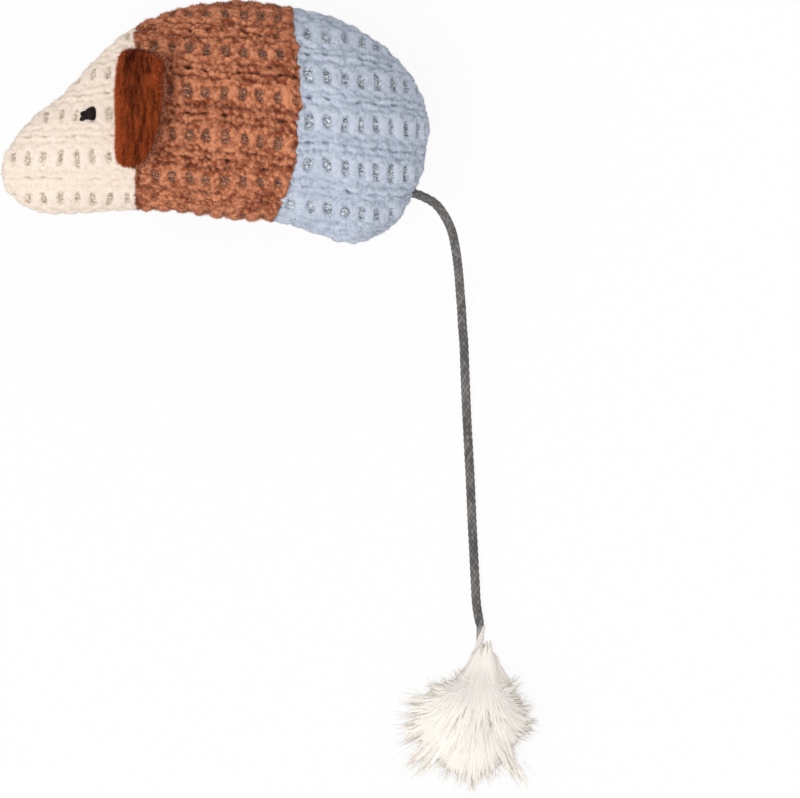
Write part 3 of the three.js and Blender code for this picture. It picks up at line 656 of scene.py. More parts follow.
begin = np.where(rng.random(HAIRS) < 0.3, varied(0.1, 0.5, HAIRS), varied(0.6, 0.25, HAIRS))
end = np.minimum(begin + 0.3 + varied(0, 0.2, HAIRS), 1.0) + varied(0, 0.04, HAIRS)
fall = varied(0, 0.3, HAIRS)
lines = flowing(fanned(HAIRS, WISP_SHARE), begin, end, 0.2, (varied(0.05, 0.3, HAIRS), fall))
widths = varied(0.035, 0.045, HAIRS, 1) * (1 - strand_way) ** 0.8 + HAIR_END
tuft_fur = add_fur("tuft_fur", lines, widths, 3, 1.0, varied(0.7, 0.3, HAIRS))

# %% [markdown]
# The locks stand off the dome like a cap, so a skirt of shorter locks hangs below them, from the shoulder
# down to the floor. It closes the sides and stays inside the outline seen from above. One more layer lies
# under the dome, for a tuft that has been picked up.

# %% Tuft skirt
SKIRT_LOCKS = 520
SKIRT_FROM, SKIRT_SPAN = 314, 286
SKIRT_BULGE, SKIRT_DROP = 1.02, 0.55
SKIRT_SWIRL = 14
skirt_start = varied(SKIRT_FROM, SKIRT_SPAN, SKIRT_LOCKS, 1)
skirt_turn = skirt_start + SKIRT_SWIRL * rng.normal(0, 0.6, (SKIRT_LOCKS, 1)) * strand_way
root_share = varied(0.9, 0.08, SKIRT_LOCKS, 1)
tip_share = varied(0.86, 0.1, SKIRT_LOCKS, 1)
root_height = dome(skirt_start % 360, root_share)[0]
tip_height = 0.35 + 1.6 * rng.random((SKIRT_LOCKS, 1)) ** 2
skirt_share = arched(strand_way, root_share, SKIRT_BULGE, tip_share)
skirt_height = arched(strand_way, root_height, SKIRT_DROP * root_height, tip_height)
skirt_reach = skirt_share * CORE_SHARE * mass_reach(skirt_turn)
lines = tuft_spot(*tuft_plan(skirt_turn, skirt_reach), skirt_height)
widths = varied(0.35, 0.35, SKIRT_LOCKS, 1) * LOCK_TAPER
tuft_skirt = add_fur("tuft_skirt", lines, widths, 6, 0.5, varied(0.6, 0.4, SKIRT_LOCKS))

# %% Tuft underside
UNDER_LOCKS, UNDER_END = 420, 0.88
begin = varied(0, 0.75, UNDER_LOCKS)
end = np.minimum(begin + 0.3 + varied(0, 0.2, UNDER_LOCKS), UNDER_END)
lines = flowing(fanned(UNDER_LOCKS, 0.2), begin, end, 0.12)
widths = varied(0.4, 0.3, UNDER_LOCKS, 1) * LOCK_TAPER
tuft_underside = add_fur("tuft_underside", lines, widths, 6, 0.35, varied(0.5, 0.4, UNDER_LOCKS))

# %% [markdown]
# ## The stuffed body
# The body is drawn as matching stations on its back line and belly line, from nose to rump, and is
# rounded between them. It lies on its right side, so its left side faces up. Every panel, seam, ear
# and eye is placed by a station along the body and an angle round it: 0 is the back, a quarter turn is
# the left flank and a half turn is the belly.

# %% Body surface
BODY_LENGTH, BODY_HEIGHT, BODY_THICKNESS = 94, 53, 44
ROUNDNESS = 2.1
RUMP_BOW, RUMP_BOW_SPAN, RUMP_SKEW = 4, 1.8, 0.45
NECK, RUMP, LAST = 5, 8, 13
KNIT_THICKNESS = 2.4
BACK_STATIONS = np.array([
    [0, 0.295, 0], [0.012, 0.373, 0.2], [0.066, 0.502, 0.39], [0.15, 0.622, 0.57], [0.23, 0.776, 0.7],
    [0.315, 0.892, 0.82], [0.423, 0.971, 0.93], [0.554, 1, 1], [0.683, 0.971, 1], [0.798, 0.917, 0.97],
    [0.897, 0.809, 0.85], [0.965, 0.676, 0.63], [0.997, 0.527, 0.34], [1, 0.452, 0],
])
BELLY_STATIONS = np.array([
    [0, 0.295], [0.016, 0.212], [0.08, 0.133], [0.164, 0.124], [0.244, 0.133], [0.317, 0.137],
    [0.423, 0.129], [0.535, 0.102], [0.636, 0.091], [0.737, 0.041], [0.822, 0], [0.911, 0.066],
    [0.977, 0.257], [1, 0.452],
])
back_knots = (BACK_STATIONS - [0.5, 0.5, 0]) * [BODY_LENGTH, BODY_HEIGHT, BODY_THICKNESS / 2]
belly_knots = (BELLY_STATIONS - 0.5) * [BODY_LENGTH, BODY_HEIGHT]


def squashed(value):
    return np.sign(value) * np.abs(value) ** (2 / ROUNDNESS)


def body_point(station, angle):
    station, angle = np.broadcast_arrays(np.asarray(station, float), np.asarray(angle, float))
    back, belly = smooth_line(back_knots, station), smooth_line(belly_knots, station)
    up, side = squashed(np.cos(angle)), squashed(np.sin(angle))
    bow = RUMP_BOW * np.exp(-(((station - RUMP) / RUMP_BOW_SPAN) ** 2)) * side**2 * (1 - RUMP_SKEW * up)
    share = (1 + up) / 2
    x = belly[..., 0] + (back[..., 0] - belly[..., 0]) * share + bow
    y = belly[..., 1] + (back[..., 1] - belly[..., 1]) * share
    z = MIDDLE_HEIGHT + np.maximum(back[..., 2], 0) * side
    return np.stack([x, y, z], axis=-1)


def body_outward(station, angle):
    station = np.clip(station, 0.02, LAST - 0.02)
    around = body_point(station, angle + 0.02) - body_point(station, angle - 0.02)
    ahead = body_point(np.minimum(station + 0.01, LAST), angle)
    behind = body_point(np.maximum(station - 0.01, 0), angle)
    return unit(np.cross(around, ahead - behind))


def body_skin(station, angle, depth):
    return body_point(station, angle) - body_outward(station, angle) * depth


flank_stations = np.linspace(0, LAST, 2001)
flank_line = body_point(flank_stations, math.pi / 2)
flank_run = run_length(flank_line)
print(f"flank length nose to rump {flank_run[-1]:.0f} mm")

# %% [markdown]
# ## Stuffing pressure
# Stuffing pushes the knit out between the seams that hold it, so the body shows three soft swells with
# a valley at each seam. That is what cloth simulation with pressure is for. A coarse bag of the body
# is pinned along its seams and inflated for twenty frames. How far each point moved, capped, is kept as
# a table that lifts the finer panels. The bag itself is thrown away.

# %% Stuffed bag
BAG_SCALE = 10
BAG_STEP = 0.125
BAG_STATIONS = np.arange(0.25, LAST - 0.2, BAG_STEP)
BAG_COLUMNS = 64
BAG_PRESSURE, BAG_FRAMES, BAG_CAP = 4, 20, 1.1


def inflated_bag():
    angle = np.arange(BAG_COLUMNS) * 2 * np.pi / BAG_COLUMNS
    rows = len(BAG_STATIONS)
    start = body_point(BAG_STATIONS[:, None], angle[None])
    mesh = bpy.data.meshes.new("bag")
    faces = ring_faces(rows, BAG_COLUMNS)[0]
    mesh.from_pydata((start.reshape(-1, 3) * MM * BAG_SCALE).tolist(), [], faces.tolist())
    bag = bpy.data.objects.new("bag", mesh)
    bpy.context.scene.collection.objects.link(bag)
    sewn = np.zeros((rows, BAG_COLUMNS), bool)
    sewn[[0, -1]] = True
    sewn[[np.abs(BAG_STATIONS - NECK).argmin(), np.abs(BAG_STATIONS - RUMP).argmin()]] = True
    sewn[:, [0, BAG_COLUMNS // 2]] = True
    bag.vertex_groups.new(name="sewn").add(np.flatnonzero(sewn.ravel()).tolist(), 1.0, "REPLACE")
    cloth = bag.modifiers.new("cloth", "CLOTH")
    cloth.settings.vertex_group_mass = "sewn"
    cloth.settings.use_pressure = True
    cloth.settings.uniform_pressure_force = BAG_PRESSURE
    cloth.settings.effector_weights.gravity = 0
    cloth.collision_settings.use_collision = False
    cloth.point_cache.frame_start, cloth.point_cache.frame_end = 1, BAG_FRAMES
    for number in range(1, BAG_FRAMES + 1):
        bpy.context.scene.frame_set(number)
    settled = bag.evaluated_get(bpy.context.evaluated_depsgraph_get()).to_mesh()
    end = np.empty(len(settled.vertices) * 3, np.float32)
    settled.vertices.foreach_get("co", end)
    bpy.context.scene.frame_set(1)
    bpy.data.objects.remove(bag)
    bpy.data.meshes.remove(mesh)
    moved = end.reshape(rows, BAG_COLUMNS, 3) / (MM * BAG_SCALE) - start
    push = (moved * body_outward(BAG_STATIONS[:, None], angle[None])).sum(-1)
    return np.clip(push, 0, BAG_CAP)


bag_lift = inflated_bag()
print(f"stuffing lifts the knit by up to {bag_lift.max():.2f} mm, {bag_lift.mean():.2f} mm on average")


def stuffing_lift(station, angle):
    """The bag's lift between its own stations and angles."""
    row = np.clip((station - BAG_STATIONS[0]) / BAG_STEP, 0, len(BAG_STATIONS) - 1.001)
    column = (angle / (2 * np.pi) * BAG_COLUMNS) % BAG_COLUMNS
    i, j = np.floor(row).astype(int), np.floor(column).astype(int)
    a, b = row - i, column - j
    beside = (j + 1) % BAG_COLUMNS
    near = bag_lift[i, j] * (1 - b) + bag_lift[i, beside] * b
    far = bag_lift[i + 1, j] * (1 - b) + bag_lift[i + 1, beside] * b
    return near * (1 - a) + far * a

# %% [markdown]
# ## The knit
# The panels are a chunky rib in chenille yarn. Seen close, a row of open windows alternates with plump
# pads, and four rows of pointed stitches run between one window row and the next, with a dark crease
# where they turn. Each window shows a loose net of pale and dark threads on the ground behind it. At
# this size the stitches are shape, not texture, so they are modelled as relief on a fine grid. Each
# stitch gets its own height and tone, because yarn is never even.

# %% Stitch relief
YARN_TONES = 61
YARN_TABLE = np.random.default_rng(5).random((YARN_TONES, YARN_TONES))
SOFTNESS = 8.0
PAD_LEVEL, PAD_VARIES, PAD_ROUND, PAD_FALL = 0.08, 0.25, 0.42, 0.7
STITCH_LENGTH = 2.3
STITCH_LEVEL, STITCH_VARIES, STITCH_ROUND = 0.02, 0.3, 0.75
STITCH_ROWS = ((0.25, 0.15, 0.12), (0.78, 0.55, -0.12))
VALLEY = -0.75
CREASE_HALF, CREASE_LENGTH = 0.36, 0.8
WINDOW_FRAY, WINDOW_EDGE = 1.3, 0.85


def yarn_tone(row, place):
    return YARN_TABLE[row.astype(int) % YARN_TONES, place.astype(int) % YARN_TONES]


def stitch_relief(along, across, knit, fray):
    """Height over the panel's surface, a tone for each stitch, how open the knit is and where its pads are.

    along counts stitches, with a window at each whole number. across is in millimetres. fray roughens
    the edges of the windows.
    """
    pitch, period = knit["pitch"], knit["period"]
    wide, tall = knit["window_half"]
    row = np.round(across / period)
    aside = np.abs(across - row * period)
    bank = (across > row * period).astype(int)
    pad = np.floor(along)
    pad_yarn = yarn_tone(row * 7, pad * 3)
    slide = (along - pad - 0.5) * pitch
    pad_level = PAD_LEVEL + PAD_VARIES * (pad_yarn - 0.5) - PAD_ROUND * (slide / (pitch / 2 - wide)) ** 2
    pad_level = pad_level - PAD_FALL * np.maximum(0, (aside - tall) / 0.8) ** 2
    pad_weight = np.exp(SOFTNESS * pad_level)
    filler = np.exp(SOFTNESS * VALLEY)
    total, toned = pad_weight + filler, pad_weight * (0.25 + 0.75 * pad_yarn) + filler * 0.4
    band = period / 2 - tall
    for number, (share, phase, slant) in enumerate(STITCH_ROWS):
        nearest = np.round(along - phase)
        for neighbour in (-1, 0, 1):
            place = nearest + neighbour
            yarn = yarn_tone(row * 11 + bank * 5 + number * 17 + 3, place * 7)
            slide = (along - phase - place) * pitch
            offset = aside - tall - share * band - slant * slide - 0.5 * (yarn - 0.5)
            bulge = (slide / STITCH_LENGTH) ** 2 + (offset / (0.25 * band)) ** 2
            level = STITCH_LEVEL + STITCH_VARIES * (yarn - 0.5) - STITCH_ROUND * bulge
            weight = np.exp(SOFTNESS * np.maximum(level, -3.0))
            total, toned = total + weight, toned + weight * yarn
    height = np.log(total) / SOFTNESS
    hole = np.round(along)
    vary = [yarn_tone(row * 13 + k * 19 + 5, hole * 5 + k) - 0.5 for k in range(5)]
    slide = (along - hole) * pitch - 0.4 * vary[0]
    lift = across - row * period - 0.4 * vary[1]
    slide = slide + 0.5 * vary[2] * lift
    crease = period / 2 - aside
    torn = knit["pits"] * np.clip(0.4 + 2.4 * vary[3], 0, 1.4)
    pit = np.exp(-((crease / CREASE_HALF) ** 2) - (slide / CREASE_LENGTH) ** 4)
    height = knit["relief"] * height - torn * pit
    half_wide, half_tall = wide * (1 + 0.35 * vary[3]), tall * (1 + 0.4 * vary[4])
    reach = np.abs(slide / half_wide) ** 3 + np.abs(lift / half_tall) ** 3
    opening = eased((1.3 - reach * (1 + WINDOW_FRAY * fray)) / WINDOW_EDGE)
    return height, toned / total, opening, np.clip(pad_weight / total, 0, 1)

# %% [markdown]
# Each colour has its own piece of knit, so its rows start at their own place and slope a little. The
# numbers give a window's place on the flank, the slope and spacing of its rows, and how ruffled the
# yarn is. The brown yarn is the shaggiest.

# %% Knit settings
SEAM_GAP, TIP_GAP = 0.003, 0.03
KNITS = {
    "head": {
        "stations": (TIP_GAP, NECK - SEAM_GAP), "rings": 144, "columns": 240, "window": (-33.6, -8.1),
        "slope": 0.03, "period": 9.7, "pitch": 4.3, "window_half": (0.75, 1.6), "ground_depth": 0.5,
        "pits": 0.45, "ruffle": 0.75, "loft": 0.2, "heather": 0.25, "relief": 0.55},
    "middle": {
        "stations": (NECK + SEAM_GAP, RUMP - SEAM_GAP), "rings": 144, "columns": 304, "window": (2.5, 5.6),
        "slope": 0.085, "period": 9.8, "pitch": 3.95, "window_half": (0.85, 1.25), "ground_depth": 1.05,
        "pits": 0.85, "ruffle": 1.15, "loft": 0.4, "heather": 1.0, "relief": 1.0},
    "rump": {
        "stations": (RUMP + SEAM_GAP, LAST - TIP_GAP), "rings": 176, "columns": 304, "window": (28.9, -0.9),
        "slope": 0.075, "period": 10.05, "pitch": 4.25, "window_half": (0.88, 1.65), "ground_depth": 1.0,
        "pits": 0.55, "ruffle": 0.9, "loft": 0.3, "heather": 0.35, "relief": 0.8},
}
PUFF_SIZE, PUFF_LEVEL = 0.8, 0.6
HEM_ROUND, HEM_GAP = 0.2, 0.002
FLATTENED = 0.65
SEAM_PULL, SEAM_PULL_REACH, SEAM_PULL_INSET = 1.4, 1.2, 4
FRAYED = 0.5
PAD_SMOOTH = 0.55

# %% Panel faces
def panel_grid(knit):
    """The outer face of a left panel, with the marks that its finish and its fluff read."""
    first, last = np.interp(knit["stations"], flank_stations, flank_run)
    station = np.interp(np.linspace(first, last, knit["rings"] + 1), flank_run, flank_stations)[:, None]
    angle = np.linspace(HEM_GAP, math.pi - HEM_GAP, knit["columns"] + 1)[None]
    station, angle = np.broadcast_arrays(station, angle)
    base = body_point(station, angle)
    outward = unit(np.cross(np.gradient(base, axis=1), np.gradient(base, axis=0)))
    base = base + outward * stuffing_lift(station, angle)[..., None]
    around = np.linalg.norm(np.diff(base, axis=1), axis=-1)
    girth = np.concatenate([np.zeros((len(base), 1)), np.cumsum(around, axis=1)], axis=1)
    rest = girth[:, -1:] - girth
    middle = knit["columns"] // 2
    unrolled = girth[:, middle:middle + 1] - girth + base[:, middle:middle + 1, 1]
    steps = np.linalg.norm(np.diff(base, axis=0), axis=-1)
    run = np.concatenate([np.zeros((1, base.shape[1])), np.cumsum(steps, axis=0)])
    seam = np.full_like(girth, 99.0)
    if knit["stations"][0] > 1:
        seam = np.minimum(seam, run)
    if knit["stations"][1] < LAST - 1:
        seam = np.minimum(seam, run[-1:] - run)
    edge = np.minimum(np.minimum(girth, rest), seam)
    level_cut = base * [0, 1, 1]
    pull = uneven(level_cut, 33, 1.7) + 0.7 * uneven(level_cut, 63, 0.8)
    pull = SEAM_PULL * pull * np.exp(-seam / SEAM_PULL_REACH)
    base[..., 0] += pull * eased(girth / SEAM_PULL_INSET) * eased(rest / SEAM_PULL_INSET)
    wander = uneven(base, 50, 7.0) + FRAYED * uneven(base, 80, 0.9)
    stray = uneven(base, 150, 6.0) + FRAYED * uneven(base, 180, 0.9)
    window_x, window_y = knit["window"]
    here = np.interp(base[..., 0], flank_line[:, 0], flank_run)
    there = np.interp(window_x, flank_line[:, 0], flank_run)
    ruffle = knit["ruffle"]
    along = (here - there + 0.8 * ruffle * wander) / knit["pitch"]
    level = unrolled + FLATTENED * (base[..., 1] - unrolled)
    across = level + knit["slope"] * (base[..., 0] - window_x) - window_y + 0.8 * ruffle * stray
    height, tone, opening, pad = stitch_relief(along, across, knit, uneven(base, 120, 0.8))
    opening = opening * eased((edge - 0.6) / 0.6)
    puff, heather = puffs(base, PUFF_SIZE)
    puff = puff - PUFF_LEVEL
    curls = uneven(base, 31, 0.5)
    height = height + knit["loft"] * puff * (1 - PAD_SMOOTH * pad) + 0.2 * ruffle * curls + 0.15
    height = height * (1 - opening) - knit["ground_depth"] * opening
    # Tone: each stitch's own yarn tone and the heathered puffs, plus painted highlights where puffs, curls
    # and pads stand up.
    tone = 0.5 + 0.55 * (tone - 0.5) + knit["heather"] * (heather - 0.5) + 0.45 * puff + 0.4 * curls
    tone = np.clip(tone + 0.16 * pad, 0, 1)
    rolled = np.clip(1 - edge / HEM_ROUND, 0, 1)
    height = height * eased(edge / 0.5) - HEM_ROUND * (1 - np.sqrt(np.maximum(0, 1 - rolled**2)))
    points = base + outward * height[..., None]
    # hollow is how deep a point sits in a dip; the finish paints shade there.
    marks = {"tone": tone, "hollow": np.clip(-height / 1.3, 0, 1), "gap": opening}
    places = {"along": along, "across": across, "edge": edge}
    return {"base": base, "outward": outward, "points": points, "marks": marks, "places": places}

# %% Panel shells
FLOOR_SOFT = 0.4
INNER_STEP = 8
INNER_TONE = 0.5


def laid(points, side):
    """Left pieces stay. Right pieces are mirrored, and flatten where the mouse lies on the floor."""
    if side == "left":
        return points
    turned = points * [1, 1, -1] + [0, 0, 2 * MIDDLE_HEIGHT]
    height = turned[..., 2]
    pressed = FLOOR_SOFT * np.exp(np.minimum(0, height / FLOOR_SOFT - 1))
    turned[..., 2] = np.where(height < FLOOR_SOFT, pressed, height)
    return turned


def grid_quads(rows, columns):
    i, j = np.meshgrid(np.arange(rows), np.arange(columns), indexing="ij")
    wide = columns + 1
    corners = [i * wide + j, i * wide + j + 1, (i + 1) * wide + j + 1, (i + 1) * wide + j]
    return np.stack(corners, axis=-1).reshape(-1, 4)


def grid_map(rows, columns, low, high):
    """A grid on the flat map, as wide as the map and from a low to a high place on it."""
    u, v = np.meshgrid(np.linspace(0, 1, rows + 1), np.linspace(low, high, columns + 1), indexing="ij")
    return np.stack([u, v], -1).reshape(-1, 2)


def panel_shell(grid, side):
    """Closes the outer face with a coarse inner face and walls of many-sided faces along the hems."""
    rows, columns = grid["points"].shape[0] - 1, grid["points"].shape[1] - 1
    outer = laid(grid["points"], side).reshape(-1, 3)
    thin = slice(None, None, INNER_STEP)
    inner = grid["base"][thin, thin] - grid["outward"][thin, thin] * KNIT_THICKNESS
    inner[..., 2] = np.maximum(inner[..., 2], MIDDLE_HEIGHT + 0.2)
    inner_points = laid(inner, side).reshape(-1, 3)
    last_row, last_column = rows // INNER_STEP, columns // INNER_STEP
    first = len(outer)
    fine_at = lambda i, j: i * (columns + 1) + j
    coarse_at = lambda i, j: first + i * (last_column + 1) + j
    span = np.arange(INNER_STEP + 1)
    walls = []
    for c in range(last_column):
        low, high = c * INNER_STEP + span, (c + 1) * INNER_STEP - span
        walls.append([*fine_at(0, high), coarse_at(0, c), coarse_at(0, c + 1)])
        walls.append([*fine_at(rows, low), coarse_at(last_row, c + 1), coarse_at(last_row, c)])
    for r in range(last_row):
        low, high = r * INNER_STEP + span, (r + 1) * INNER_STEP - span
        walls.append([*fine_at(low, 0), coarse_at(r + 1, 0), coarse_at(r, 0)])
        walls.append([*fine_at(high, columns), coarse_at(r, last_column), coarse_at(r + 1, last_column)])
    inside = first + grid_quads(last_row, last_column)[:, ::-1]
    faces = turned_over([grid_quads(rows, columns), inside, np.array(walls)], side == "right")
    flat = [grid_map(rows, columns, 0, 0.93), grid_map(last_row, last_column, 0.95, 1)]
    marks = {}
    for key, values in grid["marks"].items():
        inner_value = INNER_TONE if key == "tone" else 0.0
        marks[key] = np.concatenate([values.ravel(), np.full(len(inner_points), inner_value)])
    return (np.concatenate([outer, inner_points]), faces), marks, np.concatenate(flat)

# %% [markdown]
# ## Fluff and ground threads
# Chenille has a short pile, so each panel grows fine fibres, as closed spikes under a millimetre long
# that lean every way. In each window a few ground threads, from pale to dark, cross from pad to pad.

# %% Spikes
SPIKE_TURNS = (0.0, 2.094, 4.189)


def cell_sides(face):
    """The two sides that leave the first corner of each cell of a grid."""
    return face[1:, :-1] - face[:-1, :-1], face[:-1, 1:] - face[:-1, :-1]


def scattered(draw, face, chance, count):
    """Random spots on a grid: the cell of each, its place in the cell, and its point."""
    one, two = cell_sides(face)
    cell = draw.choice(chance.size, count, p=(chance / chance.sum()).ravel())
    i, j = np.unravel_index(cell, chance.shape)
    a, b = draw.random((2, count, 1))
    return i, j, (i + a[:, 0], j + b[:, 0]), face[i, j] + one[i, j] * a + two[i, j] * b


def spikes(root, tip, across, beside, radius):
    """Closed three-sided spikes from their roots to their tips."""
    ring = [root + radius * (across * math.cos(t) + beside * math.sin(t)) for t in SPIKE_TURNS]
    points = np.stack([*ring, tip], axis=1).reshape(-1, 3)
    at = np.arange(len(root))[:, None] * 4
    return points, [at + [0, 1, 3], at + [1, 2, 3], at + [2, 0, 3], at + [2, 1, 0]]


def spike_map(place, size, share, patch):
    """A small patch of the flat map for each spike, at its own place."""
    spot = np.stack([place[0] / size[0], place[1] / size[1]], -1) * share
    return (spot[:, None] + patch[None]).reshape(-1, 2)

# %% Fluff
FLUFF_PER_MM2 = 7.0
FLUFF_RADIUS, FLUFF_DEPTH, FLUFF_LEAN = 0.075, 0.08, 0.7
FLUFF_PATCH = np.array([[0, 0], [0.006, 0], [0.003, 0.006], [0.003, 0.002]])
HEM_FLUFF, HEM_FLUFF_REACH = 4.0, 0.45


def fluff(grid, side, seed, longest):
    draw = np.random.default_rng(seed)
    one, two = cell_sides(grid["points"])
    area = np.linalg.norm(np.cross(one, two), axis=-1)
    inner = (slice(None, -1), slice(None, -1))
    upright = unit(0.4 * grid["outward"][inner] + 0.6 * unit(np.cross(two, one)))
    closed = 1 - np.maximum(grid["marks"]["gap"][inner], 0.8 * grid["marks"]["hollow"][inner])
    hem = 1 + HEM_FLUFF * np.exp(-grid["places"]["edge"][inner] / HEM_FLUFF_REACH)
    chance = np.minimum(area, 0.2) * np.clip(closed, 0.02, 1) * hem
    count = int(area.sum() * FLUFF_PER_MM2)
    i, j, place, spot = scattered(draw, grid["points"], chance, count)
    root = spot - upright[i, j] * FLUFF_DEPTH
    ways = draw.normal(0, 1, (count, 3))
    up = unit(upright[i, j] + FLUFF_LEAN * ways)
    long = longest * (0.45 + 0.55 * draw.random((count, 1)))
    across = unit(np.cross(up, ways[:, [1, 2, 0]]))
    points, faces = spikes(root, root + up * long, across, np.cross(up, across), FLUFF_RADIUS)
    marks = {}
    # Each spike takes its panel point's marks: the dip's painted shade at 0.6 strength, and the tone with
    # its painted highlights.
    for key, values in grid["marks"].items():
        marks[key] = np.repeat(values[i, j] * (0.6 if key == "hollow" else 1.0), 4)
    marks["tone"] = np.clip(marks["tone"] + 0.6 * np.repeat(draw.random(count) - 0.42, 4), 0, 1)
    shape = laid(points, side), turned_over(faces, side == "right")
    return shape, marks, spike_map(place, area.shape, 0.99, FLUFF_PATCH)

# %% Ground threads
THREAD_LANES = ((-0.8, -0.7), (-0.75, 0.15), (-0.1, -0.3), (0.2, 0.85), (0.75, 0.2), (0.85, 0.9))
THREAD_STEPS = np.array([-1.0, -0.5, 0.0, 0.5, 1.0])
THREAD_SHARE, THREAD_SWAY, THREAD_OVERLAP = 0.62, 0.16, 0.3
THREAD_HALF, THREAD_SIDES = 0.09, 4
WINDOW_ROWS = range(-6, 7)
CELL_REACH, EDGE_CLEAR = 0.4, 0.35


def ground_threads(grid, side, knit, seed):
    draw = np.random.default_rng(seed)
    along, across, edge = (grid["places"][k].ravel() for k in ("along", "across", "edge"))
    base, outward = grid["base"].reshape(-1, 3), grid["outward"].reshape(-1, 3)
    pitch, period = knit["pitch"], knit["period"]
    wide, tall = knit["window_half"]
    near = kdtree.KDTree(len(along))
    for n, (a, b) in enumerate(zip(along * pitch, across)):
        near.insert((a, b, 0.0), n)
    near.balance()
    lines = []
    columns = range(math.floor(along.min()), math.ceil(along.max()) + 1)
    for column, row in itertools.product(columns, WINDOW_ROWS):
        for start, end in THREAD_LANES:
            path = []
            sway = draw.normal(0, THREAD_SWAY, len(THREAD_STEPS))
            for share, swing in zip(THREAD_STEPS, sway):
                slide = share * (wide + THREAD_OVERLAP)
                lane = tall * (start + (end - start) * (share + 1) / 2) + swing
                _, n, far = near.find((column * pitch + slide, row * period + lane, 0.0))
                if far > CELL_REACH or edge[n] < EDGE_CLEAR:
                    break
                sink = THREAD_SHARE * knit["ground_depth"] + 0.2 * abs(slide) - 0.12 * swing
                path.append(base[n] - outward[n] * sink)
            if len(path) == len(THREAD_STEPS):
                lines.append(path)
    lines = laid(np.array(lines), side)
    shape = strands(lines, np.full(lines.shape[:2], THREAD_HALF), THREAD_SIDES)
    return shape, {"tone": np.repeat(draw.random(len(lines)), len(THREAD_STEPS) * THREAD_SIDES)}

# %% [markdown]
# ## Knit finishes
# The three yarns share one recipe. Tone varies from stitch to stitch and with fine flecks of pile, with
# painted highlights where puffs and pads stand up. Dips get painted shade, windows show a pale ground
# under a fine dark net of painted shade, and a faint sheen stands for the velvety pile.

# %% Knit finish
def knit_finish(name, pale, plain, dip_shade, ground, gap_shade):
    finish, wire = open_finish(name)
    spot = placed(wire)
    tone, hollow, gap = wire.mark("tone"), wire.mark("hollow"), wire.mark("gap")
    fleck = wire.cloud(spot, 2600.0, 3.0)
    patch = wire.cloud(spot, 120.0, 2.0)
    # lively carries the stitch tone, with its painted highlights on the raised puffs and pads.
    lively = (tone * 0.8 + fleck * 0.5 + patch * 0.35 - 0.38).kept()
    dyed_and_highlit = lively.mixed(plain, pale)
    # Painted shade: dips, by the hollow mark, are mixed toward the dip shade colour.
    shaded = (hollow * 1.3 - 0.15).kept().mixed(dyed_and_highlit, dip_shade)
    pile = wire.cloud(spot, 7000.0, 2.0)
    # Windows: a pale ground under a fine dark net of painted shade, for the gaps between its threads.
    tangle = wire.cloud(spot, 1250.0, 1.0)
    ground_under_gap_shade = (1.1 - wire.math("ABSOLUTE", tangle - 0.5) * 12.0).kept().mixed(ground, gap_shade)
    close_finish(wire, {
        "Base Color": gap.mixed(shaded, ground_under_gap_shade),
        "Roughness": (0.78 + fleck * 0.2),
        "Normal": bumped(wire, pile, 0.00008, 0.5),
        "Specular IOR Level": 0.2,
        "Sheen Weight": 0.04,
        "Sheen Roughness": 0.45,
    })
    return finish


def thread_finish(name, pale, plain):
    finish, wire = open_finish(name)
    fibre = wire.cloud(placed(wire), 6000.0, 2.0)
    close_finish(wire, {
        "Base Color": (wire.mark("tone") * 0.6 + fibre * 0.5 - 0.1).kept().mixed(plain, pale),
        "Roughness": (0.6 + fibre * 0.3),
        "Normal": bumped(wire, fibre, 0.00004, 0.4),
        "Sheen Weight": 0.1,
    })
    return finish

# %% Yarns
# Shades in order: pale and plain yarn, and the painted shade of its dips; ground of the windows, and the
# painted shade of its dark net; pale and plain thread.
SHADES = {
    "head": ("cream", 0.55, (247, 232, 218), (239, 223, 207), (217, 195, 170),
             (250, 237, 222), (166, 149, 128), (250, 236, 219), (162, 146, 126)),
    "middle": ("brown", 0.85, (227, 153, 113), (136, 64, 38), (53, 23, 15),
               (218, 155, 121), (38, 22, 18), (198, 142, 115), (66, 38, 31)),
    "rump": ("blue", 0.6, (207, 214, 228), (179, 188, 203), (129, 139, 157),
             (242, 247, 253), (62, 68, 80), (232, 238, 246), (102, 110, 124)),
}
YARNS = {}
for part, (colour, longest, *shades) in SHADES.items():
    shades = [shown(*shade) for shade in shades]
    YARNS[part] = {"slot": f"{colour}_knit", "longest": longest,
                   "finish": knit_finish(f"{colour} chenille", *shades[:5]),
                   "thread": thread_finish(f"{colour} ground thread", *shades[5:])}
print("yarns:", ", ".join(yarn["slot"] for yarn in YARNS.values()))

# %% [markdown]
# ## Sewing the panels
# A cup for the head, a sleeve for the middle and a cup for the rump, each in a left and a right half.
# Every half is a closed shell with a rolled hem, so neighbours meet in a soft valley.

# %% Panels
FIRST_SEED = 40
for number, (part, knit) in enumerate(KNITS.items()):
    grid = panel_grid(knit)
    yarn = YARNS[part]
    for turn, side in enumerate(("left", "right")):
        seed = FIRST_SEED + 2 * number + turn
        shape, marks, flat = panel_shell(grid, side)
        panel = make_piece(f"{part}_knit_{side}", shape, yarn["finish"], "body",
                           [f"{part}_panel_{side}"], marks, flat)
        shape, marks, flat = fluff(grid, side, seed, yarn["longest"])
        make_piece(f"{part}_fluff_{side}", shape, yarn["finish"], "body", (), marks, flat)
        shape, marks = ground_threads(grid, side, knit, seed)
        make_piece(f"{part}_ground_threads_{side}", shape, yarn["thread"], "body", (), marks)

# %% [markdown]
# ## Seam threads
# Two-ply sewing thread runs in the thickness of the cloth: along the neck and rump seams on each side,
# and round the outline. Each ply is a tube that winds round the seam's line. The outline seam stays open
# where the tail goes in.

